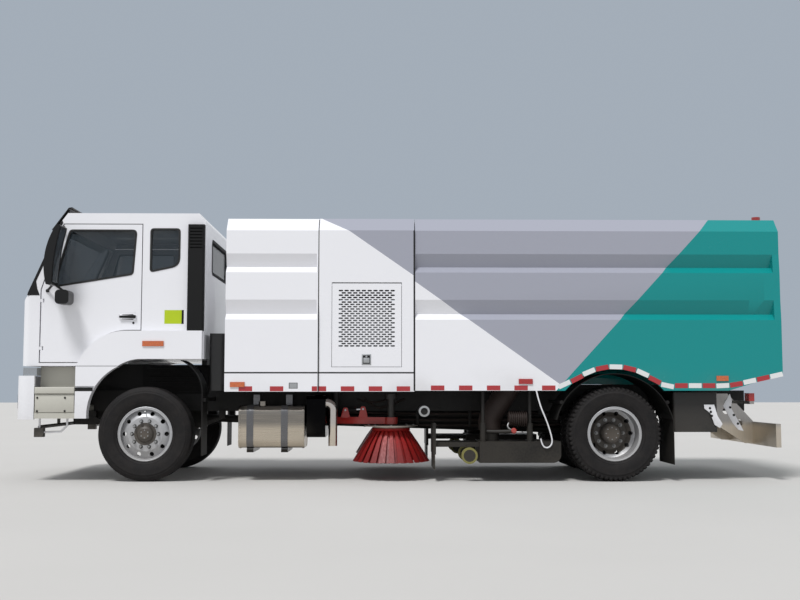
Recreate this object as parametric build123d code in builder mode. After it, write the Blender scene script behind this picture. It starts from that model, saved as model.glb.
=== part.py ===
from build123d import *
from math import asin, atan2, degrees
import os

# Street sweeper truck in millimetres. +X points forward, +Y to the truck's left, +Z up.
# The origin is on the ground, under the middle of the truck.

# Running gear
FRONT_OVERHANG = 1420
WHEELBASE = 5200
REAR_OVERHANG = 1880
LENGTH = FRONT_OVERHANG + WHEELBASE + REAR_OVERHANG
FRONT_X = LENGTH / 2
REAR_X = -LENGTH / 2
FRONT_AXLE_X = FRONT_X - FRONT_OVERHANG
REAR_AXLE_X = REAR_X + REAR_OVERHANG
TYRE_RADIUS = 522
TYRE_WIDTH = 295
AXLE_Z = TYRE_RADIUS
FRONT_WHEEL_Y = 1015
KINGPIN_Y = 860
REAR_WHEEL_Y = 1095
TWIN_SPACING = 330
RIM_RADIUS = 285
RIM_FLANGE_RADIUS = 302
RIM_WIDTH = 230
RIM_WALL = 13
SPINDLE_RADIUS = 45
FIT = 0.5        # running clearance between a pin and its bore
SEAT = 0.3       # clearance between a piece and the seat that it lies on

# Frame
RAIL_TOP = 1000
RAIL_HEIGHT = 240
RAIL_OUTER_Y = 430
RAIL_FLANGE = 80
RAIL_PLATE = 10
RAIL_BOTTOM = RAIL_TOP - RAIL_HEIGHT
RAIL_INNER_Y = RAIL_OUTER_Y - RAIL_PLATE
FRAME_FRONT_X = FRONT_X - 80
FRAME_REAR_X = REAR_X + 165
SUBFRAME_HEIGHT = 70
SUBFRAME_TOP = RAIL_TOP + SUBFRAME_HEIGHT

# Cab
CAB_SET_BACK = 38        # cab front behind the bumper's face
CAB_LENGTH = 2022
CAB_WIDTH = 2300
CAB_BOTTOM = 1274
CAB_FLOOR = 1350
CAB_TOP = 2985
CAB_WALL = 50
CAB_FRONT_X = FRONT_X - CAB_SET_BACK
CAB_REAR_X = CAB_FRONT_X - CAB_LENGTH
CAB_SIDE_Y = CAB_WIDTH / 2
SCREEN_FOOT = (CAB_FRONT_X - 56, 2064)
SCREEN_HEAD = (CAB_FRONT_X - 412, CAB_TOP - 95)
FENDER_TOP = 1663
FENDER_WIDTH = 2460
FENDER_RADIUS = 575
FENDER_FRONT_X = FRONT_AXLE_X + 204
CAB_TILT_X = FRONT_X - 120
CAB_TILT_Z = 900
CAB_PIN_RADIUS = 20
DOOR_FRONT_X = CAB_FRONT_X - 206
DOOR_REAR_X = CAB_REAR_X + 708
DOOR_BOTTOM = 1316
DOOR_TOP = 2857
DOOR_GAP = 10
DOOR_WALL = 50
DOOR_HINGE_X = DOOR_FRONT_X - 14
DOOR_HINGE_Y = CAB_SIDE_Y - 9

# Sweeper body
BODY_WIDTH = 2500
BODY_TOP = 2935
BODY_BOTTOM = 1000
BODY_WALL = 40
BODY_SEAM = 10
CAB_GAP = 244
WATER_TANK_LENGTH = 1027
ENGINE_BAY_LENGTH = 1058
TANK_FRONT_X = CAB_REAR_X - CAB_GAP
TANK_REAR_X = TANK_FRONT_X - WATER_TANK_LENGTH
BAY_FRONT_X = TANK_REAR_X - BODY_SEAM
BAY_REAR_X = BAY_FRONT_X - ENGINE_BAY_LENGTH
HOPPER_FRONT_X = BAY_REAR_X - BODY_SEAM
HOPPER_REAR_X = REAR_X
HOPPER_FLOOR = 1270
HOPPER_PIVOT_X = REAR_X + 500
HOPPER_PIVOT_Z = 1060
HOPPER_PIN_RADIUS = 30
WHEEL_ARCH_RADIUS = 730

# Side panels from the roof down: top and bottom of each flat, and how far out it stands
TOP_CHAMFER = (130, 149)
PANELS = (  # top z, bottom z, half width
    (2786, 2525, BODY_WIDTH / 2 - 30),
    (2314, 2008, BODY_WIDTH / 2 - 15),
    (1786, BODY_BOTTOM, BODY_WIDTH / 2),
)
GROOVE_DEPTH = 60
GROOVE_LIP = 66          # height of the slope under each groove
PANEL_END = 120          # plain strip that is left before a panel's edge
HOPPER_INNER_Y = BODY_WIDTH / 2 - 130

# Grille lid in each side of the engine bay
LID_LENGTH = 769
LID_BOTTOM = 1265
LID_TOP = 2190
LID_WALL = 35
LID_FRONT_X = BAY_FRONT_X - 145

# Tipping cylinder
TIP_BASE_X = REAR_AXLE_X - 230
TIP_BASE_Z = 850
TIP_EYE_X = REAR_AXLE_X + 870
TIP_EYE_Z = 1180
TIP_TUBE_RADIUS = 40
TIP_ROD_RADIUS = 32

# Sweeping gear, left side
BRUSH_X = BAY_REAR_X + 253
BRUSH_Y = BODY_WIDTH / 2 - 460
BRUSH_RADIUS = 445
BRUSH_BOTTOM = 196
BRUSH_WAIST_Z = 380
BRUSH_FOOT_RADIUS = 358
BRUSH_PLATE_RADIUS = 211
BRUSH_PLATE_Z = 580
ARM_PIVOT_X = BRUSH_X + 646
ARM_PIVOT_Y = BODY_WIDTH / 2 - 650
ARM_BOTTOM = 620
ARM_HEIGHT = 76
HEAD_ROD_RADIUS = 40
NOZZLE_FRONT_X = HOPPER_FRONT_X - 198
NOZZLE_REAR_X = REAR_AXLE_X + 601
NOZZLE_BOTTOM = 207
NOZZLE_TOP = 440
NOZZLE_INNER_Y = BODY_WIDTH / 2 - 610
NOZZLE_OUTER_Y = BODY_WIDTH / 2 - 15
NECK_X = NOZZLE_FRONT_X - 653
NECK_Y = BODY_WIDTH / 2 - 320
NECK_RADIUS = 108
TUBE_RADIUS = 128
TUBE_LEAN = 290         # how far back the suction tube's top lies
TUBE_WALL = 8
POST_RADIUS = 20
POST_Y = BODY_WIDTH / 2 - 100
POST_XS = (NECK_X + 97, NECK_X - 426)


def side(y):
    """Plane of a side view at this y, which extrudes towards the truck's right."""
    return Plane.XZ.offset(-y)


def mirrored(piece):
    """The same piece on the other side of the truck."""
    with BuildPart() as other:
        mirror(piece.part, about=Plane.XZ)
    return other


def leaf_spring(axle_x, centre_y, seat_z, eye_z, half_length, width):
    """A bundle of leaves with its two hangers up to the frame rail."""
    with BuildPart() as spring:
        with BuildSketch(side(centre_y)):
            with BuildLine():
                ThreePointArc((axle_x - half_length, eye_z), (axle_x, seat_z), (axle_x + half_length, eye_z))
                Line((axle_x + half_length, eye_z), (axle_x + half_length, eye_z + 26))
                ThreePointArc((axle_x + half_length, eye_z + 26), (axle_x, seat_z + 72),
                              (axle_x - half_length, eye_z + 26))
                Line((axle_x - half_length, eye_z + 26), (axle_x - half_length, eye_z))
            make_face()
            with Locations((axle_x - half_length, RAIL_BOTTOM), (axle_x + half_length, RAIL_BOTTOM)):
                Rectangle(70, RAIL_BOTTOM - eye_z, align=(Align.CENTER, Align.MAX))
        extrude(amount=width / 2, both=True)
    return spring


# Frame: two channel rails, cross members, cab pins and the beam that the cab rests on
CROSS_MEMBER_XS = (FRAME_FRONT_X - 45, FRONT_AXLE_X - 330, BAY_FRONT_X, HOPPER_FRONT_X - 710,
                   REAR_AXLE_X - 700, FRAME_REAR_X + 30)
with BuildPart() as frame_rails:
    with BuildSketch(Plane.YZ.offset(FRAME_REAR_X)):
        for hand in (1, -1):
            with Locations((hand * (RAIL_OUTER_Y - RAIL_FLANGE / 2), RAIL_TOP - RAIL_HEIGHT / 2)):
                Rectangle(RAIL_FLANGE, RAIL_HEIGHT)
            with Locations((hand * (RAIL_INNER_Y - RAIL_FLANGE / 2), RAIL_TOP - RAIL_HEIGHT / 2)):
                Rectangle(RAIL_FLANGE, RAIL_HEIGHT - 2 * RAIL_PLATE, mode=Mode.SUBTRACT)
    extrude(amount=FRAME_FRONT_X - FRAME_REAR_X)
    for x in CROSS_MEMBER_XS:
        with Locations((x, 0, RAIL_TOP - RAIL_HEIGHT / 2)):
            Box(60, 2 * RAIL_INNER_Y, RAIL_HEIGHT - 80)
    with Locations((TIP_BASE_X, 0, TIP_BASE_Z)):
        Cylinder(TIP_TUBE_RADIUS, 2 * RAIL_INNER_Y, rotation=(90, 0, 0))
    for hand in (1, -1):
        with Locations((CAB_TILT_X, hand * (RAIL_INNER_Y + 35), CAB_TILT_Z)):
            Cylinder(CAB_PIN_RADIUS, 70, rotation=(90, 0, 0))
    with BuildSketch(Plane.YZ.offset(CAB_REAR_X + 80)):
        with Locations((0, CAB_FLOOR - SEAT)):
            Rectangle(2 * RAIL_OUTER_Y, 60, align=(Align.CENTER, Align.MAX))
        for hand in (1, -1):
            with Locations((hand * (RAIL_OUTER_Y - 40), RAIL_TOP)):
                Rectangle(60, CAB_FLOOR - RAIL_TOP - 30, align=(Align.CENTER, Align.MIN))
    extrude(amount=60)

# Subframe: ladder under the sweeper body, outriggers and the pins that the hopper tips on
SUBFRAME_FRONT_X = TANK_FRONT_X - 40
OUTRIGGER_XS = (TANK_FRONT_X - 100, TANK_REAR_X, BAY_REAR_X + 60)
with BuildPart() as subframe:
    with BuildSketch(Plane.XY.offset(RAIL_TOP)):
        for hand in (1, -1):
            with Locations((HOPPER_PIVOT_X, hand * (RAIL_OUTER_Y - 40))):
                Rectangle(SUBFRAME_FRONT_X - HOPPER_PIVOT_X, 80, align=(Align.MIN, Align.CENTER))
        for x in OUTRIGGER_XS:
            with Locations((x, 0)):
                Rectangle(80, 2 * (BODY_WIDTH / 2 - 70))
        for x in POST_XS:
            with Locations((x, 0)):
                Rectangle(50, 2 * (POST_Y + 30))
    extrude(amount=SUBFRAME_HEIGHT)
    for hand in (1, -1):
        with Locations((HOPPER_PIVOT_X, hand * (RAIL_OUTER_Y - 40), HOPPER_PIVOT_Z)):
            Cylinder(HOPPER_PIVOT_Z - RAIL_TOP - 5, 80, rotation=(90, 0, 0))
        with Locations((HOPPER_PIVOT_X, hand * (RAIL_OUTER_Y + 5), HOPPER_PIVOT_Z)):
            Cylinder(HOPPER_PIN_RADIUS, 150, rotation=(90, 0, 0))
        for x in POST_XS:
            with Locations((x, hand * POST_Y, RAIL_TOP + 5)):
                Cylinder(POST_RADIUS, RAIL_TOP + 5 - 396, align=(Align.CENTER, Align.CENTER, Align.MAX))
    with Locations((ARM_PIVOT_X, 0, RAIL_TOP)):
        Box(90, 2 * (ARM_PIVOT_Y + 50), SUBFRAME_HEIGHT, align=(Align.CENTER, Align.CENTER, Align.MIN))
    for hand in (1, -1):
        with Locations((ARM_PIVOT_X, hand * ARM_PIVOT_Y, ARM_BOTTOM - 20)):
            Cylinder(25, RAIL_TOP - ARM_BOTTOM + 30, align=(Align.CENTER, Align.CENTER, Align.MIN))
        with Locations((ARM_PIVOT_X, hand * ARM_PIVOT_Y, ARM_BOTTOM - SEAT)):
            Cylinder(50, 20, align=(Align.CENTER, Align.CENTER, Align.MAX))
        with Locations((ARM_PIVOT_X, hand * ARM_PIVOT_Y, ARM_BOTTOM + ARM_HEIGHT + 5)):
            Cylinder(50, RAIL_TOP - ARM_BOTTOM - ARM_HEIGHT, align=(Align.CENTER, Align.CENTER, Align.MIN))

# Axles, springs and drive
with BuildPart() as front_axle:
    with BuildSketch(Plane.YZ.offset(FRONT_AXLE_X)):
        with BuildLine():
            Polyline((-KINGPIN_Y, AXLE_Z - 57), (-700, AXLE_Z - 57), (-560, AXLE_Z - 127), (560, AXLE_Z - 127),
                     (700, AXLE_Z - 57), (KINGPIN_Y, AXLE_Z - 57), (KINGPIN_Y, AXLE_Z + 53),
                     (680, AXLE_Z + 53), (540, AXLE_Z - 27), (-540, AXLE_Z - 27), (-680, AXLE_Z + 53),
                     (-KINGPIN_Y, AXLE_Z + 53), close=True)
        make_face()
    extrude(amount=45, both=True)
    for hand in (1, -1):
        with Locations((FRONT_AXLE_X, hand * KINGPIN_Y, AXLE_Z)):
            Cylinder(48, 130)
            Cylinder(22, 260)

GEARBOX_REAR_X = FRONT_AXLE_X - 480
shaft_start = Vector(REAR_AXLE_X + 190, 0, AXLE_Z)
shaft_end = Vector(GEARBOX_REAR_X, 0, 670)
shaft_run = shaft_end - shaft_start
with BuildPart() as rear_axle:
    axis_plane = Plane(origin=(REAR_AXLE_X, 0, AXLE_Z), x_dir=(0, 1, 0), z_dir=(1, 0, 0))
    with BuildSketch(axis_plane):
        with BuildLine():
            Polyline((-1000, 0), (-1000, SPINDLE_RADIUS), (-880, SPINDLE_RADIUS), (-880, 65), (-300, 70),
                     (-170, 200), (170, 200), (300, 70), (880, 65), (880, SPINDLE_RADIUS),
                     (1000, SPINDLE_RADIUS), (1000, 0), close=True)
        make_face()
    revolve(axis=Axis((REAR_AXLE_X, 0, AXLE_Z), (0, 1, 0)))
    for hand in (1, -1):
        with Locations((REAR_AXLE_X, hand * RAIL_OUTER_Y, AXLE_Z)):
            Box(140, 90, 78, align=(Align.CENTER, Align.CENTER, Align.MIN))
    with BuildSketch(Plane(origin=shaft_start, x_dir=(0, 1, 0), z_dir=shaft_run)):
        Circle(45)
    extrude(amount=shaft_run.length - 1.9)

with BuildPart() as engine_block:
    with BuildSketch(Plane.XY.offset(600)):
        with Locations((FRONT_AXLE_X + 570, 0)):
            Rectangle(900, 640)
    extrude(amount=CAB_FLOOR - 40 - 600)
    with BuildSketch(Plane.XY.offset(560)):
        with Locations((GEARBOX_REAR_X, 0)):
            Rectangle(620, 400, align=(Align.MIN, Align.CENTER))
    extrude(amount=RAIL_TOP - RAIL_HEIGHT / 2 - 80 - 560)
    with Locations((FRONT_AXLE_X + 570, 0, RAIL_TOP - RAIL_HEIGHT / 2)):
        Box(120, 2 * RAIL_INNER_Y, 60)

with BuildPart() as leaf_springs:
    for hand in (1, -1):
        add(leaf_spring(FRONT_AXLE_X, hand * RAIL_OUTER_Y, AXLE_Z - 27, 672, 750, 90))
        add(leaf_spring(REAR_AXLE_X, hand * RAIL_OUTER_Y, AXLE_Z + 78, 716, 700, 80))

# Fuel tank on the left, batteries and air tanks on the right, tool box behind the left wheels
FUEL_TANK_X = TANK_FRONT_X - 143
FUEL_TANK_LENGTH = 731
FUEL_TANK_BOTTOM = 366
FUEL_TANK_SIZE = (600, 464)
FUEL_TANK_ROUND = 90
TANK_BEAD = 12
FUEL_CAP_X = FUEL_TANK_X - 255
FUEL_CAP_Y = RAIL_OUTER_Y + 560
FUEL_CAP_RADIUS = 45
with BuildPart() as fuel_tank:
    with BuildSketch(Plane.YZ.offset(FUEL_TANK_X - FUEL_TANK_LENGTH)):
        with Locations((RAIL_OUTER_Y + 100, FUEL_TANK_BOTTOM)):
            RectangleRounded(*FUEL_TANK_SIZE, FUEL_TANK_ROUND, align=(Align.MIN, Align.MIN))
    extrude(amount=FUEL_TANK_LENGTH)
    for x in (FUEL_TANK_X - 22, FUEL_TANK_X - FUEL_TANK_LENGTH + 10):
        with BuildSketch(Plane.YZ.offset(x)):
            with Locations((RAIL_OUTER_Y + 100 - TANK_BEAD / 2, FUEL_TANK_BOTTOM - TANK_BEAD / 2)):
                RectangleRounded(FUEL_TANK_SIZE[0] + TANK_BEAD, FUEL_TANK_SIZE[1] + TANK_BEAD,
                                 FUEL_TANK_ROUND + TANK_BEAD / 2, align=(Align.MIN, Align.MIN))
        extrude(amount=TANK_BEAD)
    with Locations((FUEL_CAP_X, FUEL_CAP_Y, FUEL_TANK_BOTTOM + FUEL_TANK_SIZE[1] - 10)):
        Cylinder(FUEL_CAP_RADIUS, 60, align=(Align.CENTER, Align.CENTER, Align.MIN))
    for x in (FUEL_TANK_X - 92, FUEL_TANK_X - FUEL_TANK_LENGTH + 258):
        with BuildSketch(Plane.YZ.offset(x - 75)):
            with Locations((RAIL_OUTER_Y + 100 - SEAT - 8, FUEL_TANK_BOTTOM - SEAT - 8)):
                RectangleRounded(FUEL_TANK_SIZE[0] + 2 * SEAT + 16, FUEL_TANK_SIZE[1] + 2 * SEAT + 16, 98 + SEAT,
                                 align=(Align.MIN, Align.MIN))
            with Locations((RAIL_OUTER_Y, FUEL_TANK_BOTTOM - SEAT - 48)):
                Rectangle(60, RAIL_TOP - FUEL_TANK_BOTTOM, align=(Align.MIN, Align.MIN))
                Rectangle(FUEL_TANK_SIZE[0] + 60, 42, align=(Align.MIN, Align.MIN))
            with Locations((RAIL_OUTER_Y + 100 - SEAT, FUEL_TANK_BOTTOM - SEAT)):
                RectangleRounded(FUEL_TANK_SIZE[0] + 2 * SEAT, FUEL_TANK_SIZE[1] + 2 * SEAT, 90 + SEAT,
                                 align=(Align.MIN, Align.MIN), mode=Mode.SUBTRACT)
            with Locations((RAIL_OUTER_Y + 50, FUEL_TANK_BOTTOM + FUEL_TANK_SIZE[1] / 2)):
                Rectangle(60, 40)
        extrude(amount=75)

AIR_TANK_RADIUS = 125
AIR_CLEANER = (165, 720, 640)    # length, width and height
with BuildPart() as side_boxes:
    # front x, length, inner y, outer y, bottom z, height
    for front_x, length, inner_y, outer_y, bottom, height in (
        (FUEL_TANK_X, 620, 120 - BODY_WIDTH / 2, -RAIL_OUTER_Y, 480, 470),
        (REAR_AXLE_X - 670, 500, RAIL_OUTER_Y + 100, BODY_WIDTH / 2 - 100, 540, 440),
        (REAR_AXLE_X - 850, 80, RAIL_OUTER_Y, RAIL_OUTER_Y + 105, 800, 60),
    ):
        with BuildSketch(Plane.XY.offset(bottom)):
            with Locations((front_x, inner_y)):
                Rectangle(length, outer_y - inner_y, align=(Align.MAX, Align.MIN))
        extrude(amount=height)
    fillet(side_boxes.edges().filter_by(Axis.Z), 30)
    with BuildSketch(Plane.XY.offset(RAIL_TOP)):
        with Locations((CAB_REAR_X - 45, RAIL_OUTER_Y - RAIL_FLANGE)):
            Rectangle(AIR_CLEANER[0], AIR_CLEANER[1], align=(Align.MAX, Align.MIN))
        fillet(vertices(), 40)
    extrude(amount=AIR_CLEANER[2])
    for y in (-(RAIL_OUTER_Y + 30 + AIR_TANK_RADIUS), -(RAIL_OUTER_Y + 60 + 3 * AIR_TANK_RADIUS)):
        with BuildSketch(Plane.YZ.offset(TANK_REAR_X - 40)):
            with Locations((y, 640)):
                Circle(AIR_TANK_RADIUS)
        extrude(amount=240)
    with BuildSketch(Plane.YZ.offset(TANK_REAR_X + 50)):
        with Locations((-RAIL_OUTER_Y, 775)):
            Rectangle(4 * AIR_TANK_RADIUS + 60, 40, align=(Align.MAX, Align.CENTER))
    extrude(amount=60)

SILENCER_REAR_X = ARM_PIVOT_X + 90
TAILPIPE_X = ARM_PIVOT_X + 10
TAILPIPE_Y = BODY_WIDTH / 2 - 250
with BuildPart() as silencer:
    with BuildSketch(Plane.YZ.offset(SILENCER_REAR_X)):
        with Locations((RAIL_OUTER_Y, 480)):
            RectangleRounded(TAILPIPE_Y + 70 - RAIL_OUTER_Y, 470, 60, align=(Align.MIN, Align.MIN))
    extrude(amount=210)
    with BuildLine() as pipe_path:
        FilletPolyline((TAILPIPE_X, TAILPIPE_Y, 384), (TAILPIPE_X, TAILPIPE_Y, 860),
                       (SILENCER_REAR_X + 5, TAILPIPE_Y, 860), radius=75)
    with BuildSketch(Plane.XY.offset(384)):
        with Locations((TAILPIPE_X, TAILPIPE_Y)):
            Circle(50)
            Circle(46, mode=Mode.SUBTRACT)
    sweep(path=pipe_path.wires()[0])

# Bumper, steps, fender legs, mudguards
BUMPER_BOTTOM = 685
BUMPER_TOP = 1165
BUMPER_DEPTH = 215
BUMPER_WALL = 40
BUMPER_HALF = 1220
HEADLAMP_Y = 930
HEADLAMP_Z = 880
with BuildPart() as bumper:
    with BuildSketch(Plane.XY.offset(BUMPER_BOTTOM)):
        with Locations((FRONT_X, 0)):
            Rectangle(BUMPER_DEPTH, 2 * BUMPER_HALF, align=(Align.MAX, Align.CENTER))
        fillet(vertices().group_by(Axis.X)[-1], 150)
        with Locations((FRONT_X - BUMPER_WALL, 0)):
            RectangleRounded(2 * BUMPER_DEPTH, 2 * (BUMPER_HALF - BUMPER_WALL), 110,
                             align=(Align.MAX, Align.CENTER), mode=Mode.SUBTRACT)
    extrude(amount=BUMPER_TOP - BUMPER_BOTTOM)
    with BuildSketch(Plane.YZ.offset(FRONT_X - 25)):
        for hand in (1, -1):
            with Locations((hand * HEADLAMP_Y, HEADLAMP_Z)):
                RectangleRounded(300, 180, 30)
        with Locations((0, HEADLAMP_Z + 110)):
            SlotOverall(900, 90)
    extrude(amount=BUMPER_WALL, mode=Mode.SUBTRACT)
    for hand in (1, -1):
        with Locations((FRAME_FRONT_X, hand * (RAIL_OUTER_Y - 40), RAIL_TOP - RAIL_HEIGHT / 2)):
            Box(FRONT_X - BUMPER_WALL - FRAME_FRONT_X, 70, 200, align=(Align.MIN, Align.CENTER, Align.CENTER))

LAMP_X = (TANK_FRONT_X - 63, TANK_FRONT_X - 224)
with BuildPart() as lamps:
    for hand in (1, -1):
        with BuildSketch(Plane.YZ.offset(FRONT_X - 25 + SEAT)):
            with Locations((hand * HEADLAMP_Y, HEADLAMP_Z)):
                RectangleRounded(298, 178, 29)
        extrude(amount=22)
        with Locations((FRONT_X - 158, hand * (BUMPER_HALF - 95), BUMPER_TOP + SEAT)):
            Box(150, 150, 88, align=(Align.CENTER, Align.CENTER, Align.MIN))
        with Locations((LAMP_X[1], hand * (BODY_WIDTH / 2 + 6 + SEAT), 1040)):
            Box(LAMP_X[0] - LAMP_X[1], 12, 56, align=(Align.MIN, Align.CENTER, Align.MIN))
        with Locations((REAR_X + 300, hand * (BODY_WIDTH / 2 - 150), 884 + SEAT)):
            Box(60, 150, 88, align=(Align.MIN, Align.CENTER, Align.MIN))

STEP_REAR_X = FRONT_AXLE_X + 756
STEP_FRONT_X = FRONT_X - BUMPER_DEPTH - 7
STEP_BOTTOM = 696
STEP_SHELF = 1030
STEP_TOP = CAB_BOTTOM - 6
with BuildPart() as steps:
    with BuildSketch(Plane.YZ.offset(STEP_REAR_X)):
        for hand in (1, -1):
            with Locations((hand * 1045, STEP_BOTTOM)):
                Rectangle(360, STEP_TOP - STEP_BOTTOM, align=(Align.CENTER, Align.MIN))
            with Locations((hand * 1135, STEP_SHELF)):
                Rectangle(230, STEP_TOP - STEP_SHELF, align=(Align.CENTER, Align.MIN), mode=Mode.SUBTRACT)
            with Locations((hand * 1225, STEP_SHELF - 60)):
                Rectangle(36, STEP_SHELF - 120 - STEP_BOTTOM, align=(Align.CENTER, Align.MAX), mode=Mode.SUBTRACT)
            with Locations((hand * 660, 800)):
                Rectangle(460, 60)
    extrude(amount=STEP_FRONT_X - STEP_REAR_X)
    with Locations((STEP_REAR_X + 130, 0, 800)):
        Box(STEP_FRONT_X - STEP_REAR_X, 1700, 80, align=(Align.MIN, Align.CENTER, Align.CENTER), mode=Mode.SUBTRACT)

LEG_FRONT_X = STEP_REAR_X - SEAT
with BuildPart() as fender_leg:
    with BuildSketch(side(FENDER_WIDTH / 2)):
        with BuildLine():
            Polyline((FRONT_AXLE_X + 290, STEP_TOP), (LEG_FRONT_X, STEP_TOP), (LEG_FRONT_X, STEP_BOTTOM),
                     (FRONT_AXLE_X + 626, STEP_BOTTOM))
            ThreePointArc((FRONT_AXLE_X + 626, STEP_BOTTOM), (FRONT_AXLE_X + 530, 1060),
                          (FRONT_AXLE_X + 290, STEP_TOP))
        make_face()
    extrude(amount=110)
    with BuildSketch(side(FENDER_WIDTH / 2)):
        with Locations((FRONT_AXLE_X + 500, 1030)):
            Rectangle(600, 42)
    extrude(amount=18, mode=Mode.SUBTRACT)
with BuildPart() as fender_legs:
    add(fender_leg)
    mirror(fender_leg.part, about=Plane.XZ)

GUARD_X = FRONT_AXLE_X - 635
with BuildPart() as front_guard:
    with BuildLine() as guard_path:
        Line((GUARD_X, 0, 285), (GUARD_X, 0, 960))
        ThreePointArc((GUARD_X, 0, 960), (GUARD_X + 68, 0, 1190), (GUARD_X + 240, 0, 1335))
    with BuildSketch(Plane.XY.offset(285)):
        with Locations((GUARD_X, 1025)):
            Rectangle(10, 350)
    sweep(path=guard_path.wires()[0])
    with Locations((GUARD_X - 5, RAIL_OUTER_Y, 900)):
        Box(30, 750, 40, align=(Align.MAX, Align.MIN, Align.CENTER))
with BuildPart() as front_mudguards:
    add(front_guard)
    mirror(front_guard.part, about=Plane.XZ)

MUDGUARD_RADIUS = 670
with BuildPart() as rear_guard:
    with BuildSketch(side(1240)):
        with Locations((REAR_AXLE_X, AXLE_Z)):
            Circle(MUDGUARD_RADIUS)
            Circle(MUDGUARD_RADIUS - 8, mode=Mode.SUBTRACT)
        with Locations((REAR_AXLE_X, AXLE_Z + 155)):
            Rectangle(2 * MUDGUARD_RADIUS, MUDGUARD_RADIUS, align=(Align.CENTER, Align.MIN), mode=Mode.INTERSECT)
        with Locations((REAR_AXLE_X - 652, 185)):
            Rectangle(8, 500, align=(Align.CENTER, Align.MIN))
    extrude(amount=630)
    for hand in (1, -1):
        with Locations((REAR_AXLE_X + hand * 590, RAIL_OUTER_Y, AXLE_Z + 350)):
            Cylinder(20, 1235 - RAIL_OUTER_Y, rotation=(-90, 0, 0), align=(Align.CENTER, Align.CENTER, Align.MIN))
with BuildPart() as rear_mudguards:
    add(rear_guard)
    mirror(rear_guard.part, about=Plane.XZ)

# Rear underrun guard with its holed side plates and the bars that carry the rear lamps
GUARD_BOTTOM = 370
GUARD_TOP = 632
LAMP_BAR_LENGTH = BODY_WIDTH / 2 - 90 - RAIL_OUTER_Y
with BuildPart() as underrun_guard:
    with BuildSketch(Plane.XY.offset(GUARD_BOTTOM)):
        with Locations((REAR_X + 20, 0)):
            Rectangle(55, BODY_WIDTH - 100, align=(Align.MIN, Align.CENTER))
    extrude(amount=GUARD_TOP - GUARD_BOTTOM)
    for hand in (1, -1):
        with BuildSketch(side(hand * (RAIL_OUTER_Y + 6))):
            with BuildLine():
                Polyline((REAR_X + 880, 963), (REAR_X + 368, 963), (REAR_X + 70, 640), (REAR_X + 70, 380),
                         (REAR_X + 170, 380), (REAR_X + 450, 560), (REAR_X + 880, 760), close=True)
            make_face()
            with Locations((REAR_X + 230, 620), (REAR_X + 390, 760), (REAR_X + 600, 830)):
                Circle(38, mode=Mode.SUBTRACT)
        extrude(amount=6, both=True)
        with Locations((REAR_X + 300, hand * RAIL_OUTER_Y, 850)):
            Box(50, LAMP_BAR_LENGTH, 34, align=(Align.MIN, Align.MIN if hand > 0 else Align.MAX, Align.MIN))

# Pipes for water: the filler coupling on the left and the spray bar under the bumper
FILLER_X = HOPPER_FRONT_X - 101
FILLER_Z = 772
FILLER_BORE = 38
FILLER_Y = BODY_WIDTH / 2 - 70
SPRAY_X = FRONT_X - 250
with BuildPart() as water_pipes:
    with BuildSketch(side(FILLER_Y)):
        with Locations((FILLER_X, FILLER_Z)):
            Circle(61)
    extrude(amount=40)
    with BuildSketch(side(FILLER_Y)):
        with Locations((FILLER_X, FILLER_Z)):
            Circle(47)
    extrude(amount=FILLER_Y - RAIL_OUTER_Y)
    with BuildSketch(side(FILLER_Y)):
        with Locations((FILLER_X, FILLER_Z)):
            Circle(FILLER_BORE)
    extrude(amount=80, mode=Mode.SUBTRACT)
    with Locations((SPRAY_X, 0, 600)):
        Cylinder(20, 2200, rotation=(90, 0, 0))
    for hand in (1, -1):
        with Locations((SPRAY_X, hand * (RAIL_OUTER_Y - 40), 590)):
            Box(30, 30, RAIL_BOTTOM - 590, align=(Align.CENTER, Align.CENTER, Align.MIN))
        with Locations((SPRAY_X, hand * 1100, 540)):
            Box(100, 80, 100)


def body_section(bottom):
    """Points of the sweeper body's plain cross-section, clockwise from the left roof edge."""
    left = [(PANELS[0][2] - TOP_CHAMFER[0], BODY_TOP)]
    for top, low, half in PANELS:
        left.append((half, top))
        left.append((half, low))
    left[-1] = (PANELS[-1][2], bottom)
    return left + [(-y, z) for y, z in reversed(left)]


def groove_cutter(rear_x, front_x):
    """The two grooves of each side wall, which run out to nothing at their rear end."""
    with BuildPart() as cutter:
        with BuildSketch(Plane.YZ.offset(rear_x)):
            for upper, lower in zip(PANELS, PANELS[1:]):
                with BuildLine():
                    Polyline((upper[2], upper[1]), (upper[2] - GROOVE_DEPTH, lower[0] + GROOVE_LIP),
                             (lower[2], lower[0]), close=True)
                make_face()
        extrude(amount=front_x - rear_x)
        split(bisect_by=Plane(origin=(rear_x, PANELS[1][2], 0), z_dir=(1, 2, 0)), keep=Keep.TOP)
        mirror(about=Plane.XZ)
    return cutter


# Water tank: the closed front section of the sweeper body
MODULE_BOTTOM = BODY_BOTTOM - 10
MODULE_SEAM_Z = 1196
SKIRT_INNER_Y = BODY_WIDTH / 2 - 50
with BuildPart() as water_tank:
    with BuildSketch(Plane.YZ.offset(TANK_REAR_X)):
        with BuildLine():
            Polyline(*body_section(MODULE_BOTTOM), close=True)
        make_face()
        Rectangle(2 * SKIRT_INNER_Y, 2 * SUBFRAME_TOP, mode=Mode.SUBTRACT)
    extrude(amount=WATER_TANK_LENGTH)
    add(groove_cutter(TANK_REAR_X + PANEL_END, TANK_FRONT_X), mode=Mode.SUBTRACT)
    with GridLocations(0, BODY_WIDTH, 1, 2):
        with Locations((TANK_REAR_X, 0, MODULE_SEAM_Z)):
            Box(2 * WATER_TANK_LENGTH, 24, 8, mode=Mode.SUBTRACT)

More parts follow.
